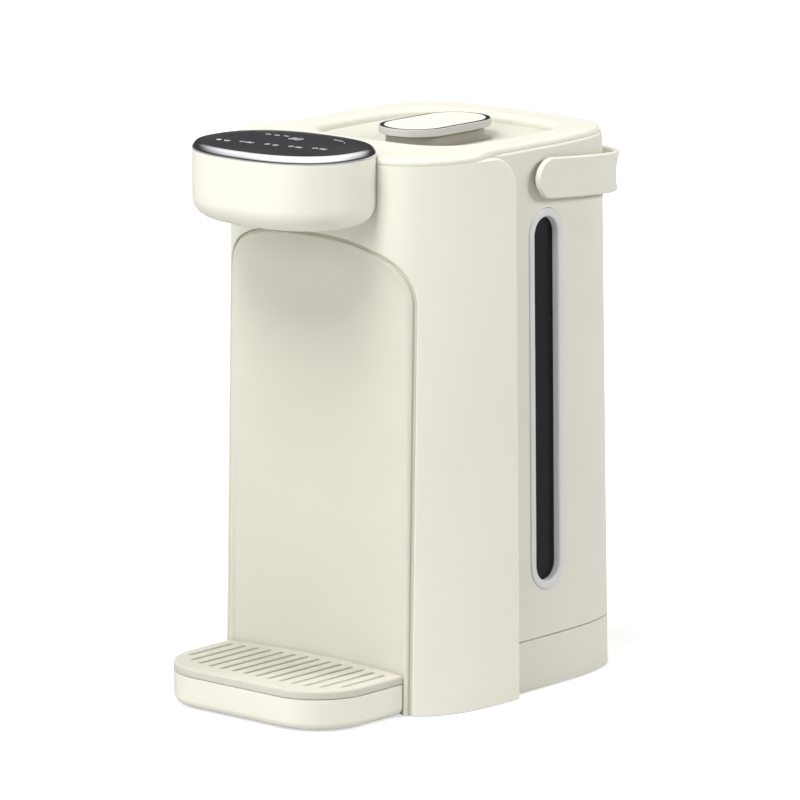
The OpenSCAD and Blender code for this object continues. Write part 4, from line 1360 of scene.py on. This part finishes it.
@dataclass(frozen=True)
class Lid:
    """Square dished lid with its raised stadium knob."""

    gap: float = 0.5
    depth: float = 5.0
    dish: float = 4.5
    dish_run: float = 14.0
    rim_w: float = 2.5
    low_drop: float = 12.2
    knob_a: float = 22.5
    knob_l: float = 40.1
    knob_t: float = 4.8
    band: float = 3.3
    pillar_inset: float = 4.2
    knob_rise: float = 3.5

    @property
    def top(self) -> float:
        """Height of the lid's edge."""
        return CASING.body_h + TOP.rise - self.depth

    @property
    def knob_low(self) -> float:
        """Height of the knob's underside."""
        return CASING.body_h + TOP.rise + self.knob_rise - self.knob_t

    def square(self, half: float) -> Array:
        """Square outline round the pot's axis."""
        angles = even_angles(TOP.well_a, TOP.well_a, TOP.well_n, 0, 360, 241)[:-1]
        return super_points(angles, half, half, TOP.well_n) + np.array([0, TOP.pot_y])

    def knob(self, inset: float) -> Array:
        """Stadium outline of the knob, drawn in."""
        return stadium(self.knob_a, self.knob_l, inset, 60) + np.array([0, TOP.pot_y])

    def plate(self) -> Piece:
        """The dished plate."""
        half = TOP.well_a - self.gap
        low = CASING.body_h + TOP.rise - self.low_drop
        floor = self.top - self.dish
        profile = [(12.0, low), (0.4, low), (0.0, low + 0.4)]
        profile += [(inset, self.top - drop) for inset, drop in quarter(1.0, 5)]
        for t in np.linspace(1, 0, 15):
            profile.append((self.rim_w + self.dish_run * (1 - t), floor + self.dish * ease(t, 0, 1) ** 0.9))
        profile.append((half - 22.0, floor))
        return turned("lid_plate_skin", lambda inset: self.square(half - inset), profile)

    def pillar(self) -> Piece:
        """The knob's pillar, with a small foot round."""
        floor, i = self.top - self.dish, self.pillar_inset
        profile = [(i - 0.9, floor), (i - 0.35, floor + 0.2), (i - 0.08, floor + 0.55)]
        return turned("knob_pillar_skin", self.knob, [*profile, (i, floor + 1.1), (i, self.knob_low)])

    def ring(self) -> Piece:
        """The knob's bright ring, which lies flat round the cap."""
        t, band = self.knob_t, self.band
        profile = [(band, 1.2), (2.0, 1.2), (0.62, t - 1.0), (0.62, t - 0.42), (0.72, t - 0.32)]
        profile += [(band - 0.15, t - 0.24), (band, t - 0.4)]
        return turned("knob_ring_band", self.knob, profile, self.knob_low, round_rows=True)

    def side(self) -> Piece:
        """The satin side of the knob's ring, with rounded edges."""
        t = self.knob_t
        profile = [(2.0, 0.0), (0.5, 0.0), (0.15, 0.12), (0.0, 0.45), (0.0, t - 0.8), (0.15, t - 0.5)]
        profile += [(0.6, t - 0.36), (0.6, t - 1.1), (2.0, 1.1)]
        return turned("knob_ring_side", self.knob, profile, self.knob_low, round_rows=True)

    def cap(self) -> Piece:
        """The knob's white cap, very slightly crowned."""
        t, w = self.knob_t, self.band + 0.1
        profile = [(w, 1.2), (w, t - 0.35), (w + 0.08, t - 0.15)]
        profile += [(w + 0.3, t - 0.03), (w + 1.2, t), (w + 9.0, t)]
        return turned("knob_cap_plate", self.knob, profile, self.knob_low)


# --------------------------------------------------------------------- handle


@dataclass(frozen=True)
class Handle:
    """Flat strap that swings on two pins and runs round the back."""

    gap: float = 2.2
    thick: float = 4.0
    tall: float = 24.6
    back: float = 127.0
    n: float = 4.0
    droop: float = 5.0
    pivot_y: float = 27.8
    pivot_z: float = 312.5
    edge: float = 1.1
    hollow: float = 1.5
    hollow_from: float = 60.0
    hollow_to: float = 115.0
    stations: int = 220
    tip_steps: int = 25

    @property
    def half_w(self) -> float:
        """Half width over the strap's outer faces."""
        return CASING.rear_a * CASING.kx(self.pivot_z, CASING.rear_a) + self.gap + self.thick

    def path(self) -> tuple[Array, Array]:
        """Outer plan line from the right tip round the back to the left tip, and its normals."""
        dense = np.linspace(0, 180, 6001)
        p = super_points(dense, self.half_w, self.back, self.n)
        tip = self.pivot_y - self.tall / 2
        p = p[p[:, 1] > tip]
        start, end = np.array([[self.half_w, tip]]), np.array([[-self.half_w, tip]])
        line = even_points(np.concatenate([start, p, end]), self.stations)
        ramp = (1 - np.cos(np.linspace(0, math.pi / 2, self.tip_steps + 1)))[:-1] * self.tall / 2
        right = np.stack([np.full(self.tip_steps, self.half_w), tip + ramp], axis=-1)
        line = line[line[:, 1] > tip + self.tall / 2]
        line = np.concatenate([right, line, right[::-1] * np.array([-1, 1])])
        nx = signed_power(line[:, 0] / self.half_w, self.n - 1) / self.half_w
        ny = signed_power(np.clip(line[:, 1], 0, None) / self.back, self.n - 1) / self.back
        return line, np.stack([nx, ny], axis=-1) / np.hypot(nx, ny)[:, None]

    def section(self, half_h: float, hollow: float) -> Array:
        """Depths behind the outer face and heights round the strap's section."""
        e = min(self.edge, half_h * 0.98, self.thick / 2)
        turns = np.linspace(0, math.pi / 2, 5)
        top = [(self.thick - e + e * math.sin(t), half_h - e + e * math.cos(t)) for t in turns[::-1]]
        over = [(e - e * math.sin(t), half_h - e + e * math.cos(t)) for t in turns]
        upper = top + over
        face = [(hollow * (1 - (s * s)), s * (half_h - e)) for s in np.linspace(0.9, -0.9, 13)]
        lower = [(d, -h) for d, h in upper[::-1]]
        inner = [(self.thick, s * (half_h - e)) for s in np.linspace(-0.9, 0.9, 5)]
        return np.array(upper + face + lower + inner)

    def build(self) -> Piece:
        """Sweeps the section along the plan line, with round tips."""
        line, normals = self.path()
        rows = []
        lean = math.radians(-self.droop)
        for p, normal in zip(line, normals, strict=True):
            from_pivot = max(self.pivot_y - p[1], 0.0)
            half_h = math.sqrt(max((self.tall / 2) ** 2 - from_pivot**2, 1e-6))
            sec = self.section(half_h, self.hollow * ease(p[1], self.hollow_from, self.hollow_to))
            x = p[0] - normal[0] * sec[:, 0]
            y = p[1] - normal[1] * sec[:, 0] - self.pivot_y
            z = sec[:, 1]
            turned_y = y * math.cos(lean) - z * math.sin(lean) + self.pivot_y
            turned_z = y * math.sin(lean) + z * math.cos(lean) + self.pivot_z
            rows.append(np.stack([x, turned_y, turned_z], axis=-1))
        return woven("carry_handle_strap", rows)


# ----------------------------------------------------------------------- tray


@dataclass(frozen=True)
class SlotTree:
    """Geometry Nodes that cut a row of slots into the grille's plate.

    Each cutter is a flared rod whose halves are moved to the slot's two ends, so that the ends follow
    the tray's rounded front and the hollow panel behind.
    """

    count: int = 14
    pitch: float = 9.4
    front_inset: float = 14.5
    back_inset: float = 10.0

    def build(self, plate: Piece, cutter: Piece, tray: "DripTray") -> Piece:
        """Runs the tree on the plate and bakes it.

        Args:
            plate: The closed plate of the grille.
            cutter: The flared rod, at the plan's origin.
            tray: Sizes of the tray.

        Returns:
            The plate with its slots.
        """
        lengths = {
            "Pitch": self.pitch,
            "Corner start": tray.half_w - tray.corner_r,
            "Corner radius": tray.corner_r,
            "Front middle": PLAN.y_shift - tray.reach + tray.corner_r,
            "Front inset": self.front_inset,
            "Panel radius": PANEL.radius,
            "Panel centre": PLAN.y_shift - PANEL.ahead - PANEL.radius,
            "Back inset": self.back_inset,
        }
        given: dict[str, tuple[str, object]] = {
            **{name: ("Float", value * MM) for name, value in lengths.items()},
            "Count": ("Int", self.count),
            "Rod": ("Object", cutter),
            "Finish": ("Material", CREAM.material()),
        }
        tree = bpy.data.node_groups.new("grille_slots", "GeometryNodeTree")
        new_socket = tree.interface.new_socket
        new_socket("Geometry", in_out="INPUT", socket_type="NodeSocketGeometry")
        ids = {
            name: new_socket(name, in_out="INPUT", socket_type=f"NodeSocket{kind}").identifier
            for name, (kind, _) in given.items()
        }
        new_socket("Geometry", in_out="OUTPUT", socket_type="NodeSocketGeometry")
        graph = Graph(tree)
        inp = {s.name: Wire(graph, s) for s in graph.node("NodeGroupInput").socket.node.outputs if s.name}
        start = graph.vector(X=(inp["Count"] - 1.0) * inp["Pitch"] * -0.5)
        spacing = {"Count": inp["Count"], "Start Location": start, "Offset": graph.vector(X=inp["Pitch"])}
        line = graph.node("GeometryNodeMeshLine", {}, spacing)
        across = graph.axis(graph.node("GeometryNodeInputPosition"), "X")
        store = {"data_type": "FLOAT", "domain": "POINT"}
        named = {"Geometry": line, "Name": "slot_x", "Value": across}
        marked = graph.node("GeometryNodeStoreNamedAttribute", store, named)
        rod = graph.node("GeometryNodeObjectInfo", {}, {"Object": inp["Rod"]}, output="Geometry")
        rods = graph.node("GeometryNodeInstanceOnPoints", {}, {"Points": marked, "Instance": rod})
        loose = graph.node("GeometryNodeRealizeInstances", {}, {"Geometry": rods})
        read = {"data_type": "FLOAT"}
        x = graph.node("GeometryNodeInputNamedAttribute", read, {"Name": "slot_x"}, output="Attribute")
        y = graph.axis(graph.node("GeometryNodeInputPosition"), "Y")
        past = (x.absolute() - inp["Corner start"]).at_least(0.0)
        radius, bow = inp["Corner radius"], inp["Panel radius"]
        front = inp["Front middle"] - (radius * radius - past * past).root() + inp["Front inset"]
        back = inp["Panel centre"] + (bow * bow - x * x).root() - inp["Back inset"]
        behind = y.above(0.0)
        shift = graph.vector(Y=behind * back + (1.0 - behind) * front)
        cutters = graph.node("GeometryNodeSetPosition", {}, {"Geometry": loose, "Offset": shift})
        kind = {"operation": "DIFFERENCE", "solver": "EXACT"}
        slotted = graph.node("GeometryNodeMeshBoolean", kind, {0: inp["Geometry"], 1: cutters})
        whole = graph.node("GeometryNodeRealizeInstances", {}, {"Geometry": slotted})
        coated = graph.node("GeometryNodeSetMaterial", {}, {"Geometry": whole, "Material": inp["Finish"]})
        graph.node("NodeGroupOutput", {}, {0: coated})
        run = plate.modifiers.new("slots", "NODES")
        run.node_group = tree
        for name, (_, value) in given.items():
            run[ids[name]] = value
        baked(plate)
        bpy.data.objects.remove(cutter)
        return plate


@dataclass(frozen=True)
class DripTray:
    """Drip tray and its slotted grille."""

    half_w: float = 70.0
    reach: float = 157.0
    corner_r: float = 36.0
    low: float = 1.0
    seam: float = 20.0
    seam_gap: float = 0.4
    top: float = 25.5
    edge_round: float = 5.0
    wall: float = 2.4
    grille_t: float = 2.6
    slot_w: float = 2.4
    slot_round: float = 0.9
    back_gap: float = 1.8
    slots: SlotTree = field(default_factory=SlotTree)

    def ring(self, inset: float) -> Array:
        """Outline of the tray, drawn in: round front corners and a back that follows the panel."""
        w, f, r = self.half_w - inset, self.reach - inset, self.corner_r - inset
        t = np.radians(np.linspace(180, 270, 30))
        left = np.stack([-w + r + r * np.cos(t), -f + r + r * np.sin(t)], axis=-1)
        right = left[::-1] * np.array([-1, 1])
        x = np.linspace(w, -w, 41)
        y = np.sqrt((PANEL.radius - self.back_gap) ** 2 - x * x) - PANEL.radius - PANEL.ahead - inset
        sides = np.linspace(0, 1, 8)[1:-1, None]
        back = np.stack([x, y], axis=-1)
        right_side = right[-1] * (1 - sides) + back[0] * sides
        left_side = back[-1] * (1 - sides) + left[0] * sides
        front = np.linspace(0, 1, 12)[1:-1, None]
        ahead = left[-1] * (1 - front) + right[0] * front
        return np.concatenate([left, ahead, right, right_side, back, left_side])

    def pan(self) -> Piece:
        """The tray as a pan with a floor."""
        profile = [(self.edge_round + 6, self.low)]
        profile += [(inset, self.low + drop) for inset, drop in quarter(self.edge_round, 8)][::-1]
        profile += [(0.0, self.seam - 0.4), (0.12, self.seam - 0.12), (0.4, self.seam)]
        profile += [(self.wall, self.seam), (self.wall, self.low + self.wall + 3)]
        profile += [(self.wall + 1.2, self.low + self.wall + 0.9), (self.wall + 3, self.low + self.wall)]
        profile += [(self.wall + 9, self.low + self.wall)]
        return turned("drip_tray_pan", self.ring, profile)

    def grille(self) -> Piece:
        """The grille: a rimmed plate whose slots are cut by the slot tree."""
        low = self.seam + self.seam_gap
        under = self.top - self.grille_t
        profile = [(6.0, under), (self.wall, under), (self.wall, low)]
        profile += [(0.35, low), (0.1, low + 0.12), (0.0, low + 0.4)]
        profile += [(inset, self.top - drop) for inset, drop in quarter(1.6, 6)]
        plate = turned("drip_grille_plate", self.ring, [*profile, (6.0, self.top)])
        return self.slots.build(plate, self.rod(), self)

    def rod(self) -> Piece:
        """Flared cutter with its halves either side of the plan's middle."""
        half, r = self.slot_w / 2, self.slot_round
        profile = [(half, self.top - self.grille_t - 3), (half, self.top - r)]
        profile += [(half + inset, self.top - drop) for inset, drop in quarter(r, 4)[1:]]
        profile += [(half + r + 0.02, self.top + 2)]
        shift = np.array([0, PLAN.y_shift])
        return turned("slot_rod", lambda width: circle(width, 20, 9.0) - shift, profile)


PANEL = NichePanel()


# ----------------------------------------------------------- other CAD pieces


@dataclass(frozen=True)
class SmoothCopies:
    """Welded, smoothly shaded copies of the CAD nodes that nothing else stands for."""

    sharp: float = 30.0

    def copy(self, node: str, body: Body, slot: Slot, finish: Finish | None = None) -> Piece:
        """Makes one node's copy and dresses it."""
        mesh = frame["nodes"][node].data.copy()
        build = bmesh.new()
        build.from_mesh(mesh)
        bmesh.ops.remove_doubles(build, verts=build.verts, dist=1e-6)
        build.to_mesh(mesh)
        build.free()
        return dressed(placed(f"{node}_piece", mesh), body, slot, finish, replaces=[node], sharp=self.sharp)

    def build(self, done: set[str]) -> None:
        """Copies every node that isn't in the set of nodes that are done."""
        record = frame["record"]
        slots = {s["node"]: Slot(s["material_slot"]) for s in record["subparts"]}
        for body, nodes in record["behaviour"]["bodies"].items():
            for node in nodes:
                if node not in done:
                    # The base tub takes the darker rear copy of the cream, which paints shade on it.
                    self.copy(node, Body(body), slots[node], CREAM_REAR_SHADED if node == "base_tub" else None)


# ---------------------------------------------------------------------- scene


@dataclass(frozen=True)
class Studio:
    """Pale studio: floor, lamps, world and camera."""

    target: tuple[float, float, float] = (0.0, 0.0, 0.17)
    camera_place: tuple[float, float, float] = (2.56488, -2.92772, 0.96416)
    camera_turn: float = 41.158222
    camera_tilt: float = 11.501613
    lens: float = 295.927
    sensor: float = 36.0
    world_level: float = 0.02
    sky_low: float = 0.3
    sky_high: float = 0.75
    sky_level: float = 1.3
    sky_dark: float = 0.06
    ground_low: float = -0.1
    ground_high: float = 0.08
    ground_level: float = 0.5
    floor_glow: float = 0.62
    glow_from: float = 0.15
    glow_to: float = 0.6
    floor_half: float = 6.0

    def camera(self) -> None:
        """Adds the camera, ahead and to the right of the pot."""
        a, e = math.radians(self.camera_turn), math.radians(self.camera_tilt)
        right = Vector((math.cos(a), math.sin(a), 0))
        ahead = Vector((-math.sin(a) * math.cos(e), math.cos(a) * math.cos(e), -math.sin(e)))
        up = right.cross(ahead)
        data = bpy.data.cameras.new("camera")
        data.lens = self.lens
        data.sensor_width = self.sensor
        data.clip_start, data.clip_end = 0.1, 60.0
        made = placed("camera", data)
        turn = Matrix((right, up, -ahead)).transposed().to_4x4()
        made.matrix_world = Matrix.Translation(self.camera_place) @ turn
        bpy.context.scene.camera = made

    def lamp(self, name: str, place: Sequence[float], size: float, power: float) -> None:
        """Adds a square soft lamp that faces the pot."""
        data = bpy.data.lights.new(name, "AREA")
        data.shape = "SQUARE"
        data.size = size
        data.energy = power
        made = placed(name, data)
        made.location = place
        away = Vector(place) - Vector(self.target)
        made.rotation_mode = "QUATERNION"
        made.rotation_quaternion = away.to_track_quat("Z", "Y")
        made.visible_glossy = False

    def lamps(self) -> None:
        """Adds the key lamps high in front and overhead, side lamps and weak fills."""
        self.lamp("key", (0.3, -1.6, 2.4), 1.0, 48.0)
        self.lamp("overhead", (0.1, -0.38, 2.6), 0.3, 17.0)
        self.lamp("key_left", (-0.9, -1.3, 2.4), 1.0, 13.0)
        self.lamp("front", (0.3, -3.0, 1.4), 1.2, 30.0)
        self.lamp("front_low", (0.4, -3.2, 0.6), 1.2, 5.0)
        self.lamp("front_left", (-2.0, -2.2, 1.3), 1.4, 12.0)
        self.lamp("side", (2.4, 1.9, 1.5), 0.9, 54.0)
        self.lamp("side_rear", (1.6, 2.6, 1.2), 0.9, 22.0)
        self.lamp("rear_left", (-2.3, 1.7, 1.6), 1.4, 24.0)

    def world(self) -> None:
        """Makes the world white to the camera, faint where it lights, and a soft sky in reflections."""
        made = bpy.data.worlds.new("studio")
        made.use_nodes = True
        bpy.context.scene.world = made
        graph = Graph(made.node_tree)
        height = graph.axis(graph.node("ShaderNodeNewGeometry", output="Incoming"), "Z") * -1.0
        sky = height.ramp(self.sky_low, self.sky_high) * self.sky_level + self.sky_dark
        sky = sky + (1.0 - height.ramp(self.ground_low, self.ground_high)) * self.ground_level
        light, gloss, white = (graph.white("ShaderNodeBackground", s) for s in (self.world_level, sky, 1.0))
        mixed = graph.either(graph.seen("Is Glossy Ray"), light, gloss)
        mixed = graph.either(graph.seen("Is Camera Ray", "Is Transmission Ray"), mixed, white)
        graph.surface(mixed, "World")

    def floor(self) -> None:
        """Adds a pale floor that shows white and keeps the pot's shadow."""
        h = self.floor_half
        mesh = bpy.data.meshes.new("floor")
        mesh.from_pydata([(-h, -h, 0), (h, -h, 0), (h, h, 0), (-h, h, 0)], [], [(0, 1, 2, 3)])
        made = placed("floor", mesh)
        coat = bpy.data.materials.new("floor_white")
        coat.use_nodes = True
        graph = Graph(coat.node_tree)
        tint = graph.blend(graph.noise(3.0), *((level, level, level, 1.0) for level in (0.59, 0.61)))
        matte = graph.node("ShaderNodeBsdfDiffuse", {}, {"Color": tint})
        place = graph.node("ShaderNodeTexCoord", output="Object")
        away = graph.node("ShaderNodeVectorMath", {"operation": "LENGTH"}, {0: place}, output="Value")
        level = away.ramp(self.glow_from, self.glow_to) * (1.0 - self.floor_glow) + self.floor_glow
        glow = graph.white("ShaderNodeEmission", level)
        both = graph.node("ShaderNodeAddShader", {}, {0: matte, 1: glow})
        graph.surface(graph.either(graph.seen("Is Camera Ray", "Is Transmission Ray"), matte, both))
        mesh.materials.append(coat)
        made.visible_glossy = False

    def build(self) -> None:
        """Adds everything round the pot."""
        self.camera()
        self.lamps()
        self.world()
        self.floor()
        bpy.context.scene.view_settings.view_transform = "Standard"


# ----------------------------------------------------------------------- main


@dataclass
class ThermoPot:
    """The whole pot, sub-assembly by sub-assembly."""

    done: set[str] = field(default_factory=set)

    def add(self, obj: Piece, body: Body, slot: Slot, node: str, finish: Finish | None = None) -> None:
        """Dresses a piece that stands for one CAD node."""
        dressed(obj, body, slot, finish, replaces=[node])
        self.done.add(node)

    def casing(self) -> None:
        """Shells, niche panel, top frame and window."""
        self.add(FrontShell().build(), Body.BODY, Slot.CREAM, "front_shell")
        self.add(RearHousing().build(), Body.BODY, Slot.CREAM, "rear_housing", CREAM_REAR_SHADED)
        self.add(PANEL.build(), Body.BODY, Slot.CREAM, "niche_panel", CREAM_PANEL_SHADED)
        self.add(TOP.build(), Body.BODY, Slot.CREAM, "top_frame", CREAM_TOP_SHADED)
        self.add(WINDOW.bezel(), Body.BODY, Slot.WINDOW, "window_frame")
        self.add(WINDOW.lens(), Body.BODY, Slot.LENS, "window_lens")

    def head(self) -> None:
        """Head, ring, glass and its marks."""
        head = SpoutHead()
        self.add(head.housing(), Body.BODY, Slot.CREAM, "head_housing")
        self.add(head.bright_ring(), Body.BODY, Slot.TRIM, "head_ring")
        self.add(head.glass(), Body.BODY, Slot.GLASS, "control_glass")
        dressed(head.marks(), Body.BODY, Slot.GLASS, MARKS)

    def lid(self) -> None:
        """Lid plate and knob."""
        lid = Lid()
        self.add(lid.plate(), Body.LID, Slot.CREAM, "lid_plate", CREAM_LID_SHADED)
        self.add(lid.pillar(), Body.LID, Slot.PILLAR, "knob_pillar")
        self.add(lid.ring(), Body.LID, Slot.TRIM, "knob_ring")
        dressed(lid.side(), Body.LID, Slot.TRIM, SATIN)
        self.add(lid.cap(), Body.LID, Slot.KNOB, "knob_cap")

    def handle(self) -> None:
        """Carrying strap."""
        self.add(Handle().build(), Body.HANDLE, Slot.CREAM, "carry_handle", CREAM_HANDLE_SHADED)

    def tray(self) -> None:
        """Drip tray and grille."""
        tray = DripTray()
        self.add(tray.pan(), Body.TRAY, Slot.CREAM, "drip_tray")
        self.add(tray.grille(), Body.GRILLE, Slot.CREAM, "drip_grille", CREAM_GRILLE_SHADED)


def main() -> None:
    """Builds the pot in order."""
    logging.basicConfig(level=logging.INFO, format="%(name)s %(message)s")
    Studio().build()
    pot = ThermoPot()
    pot.casing()
    pot.head()
    pot.lid()
    pot.handle()
    pot.tray()
    SmoothCopies().build(pot.done)


if __name__ == "__main__":
    main()
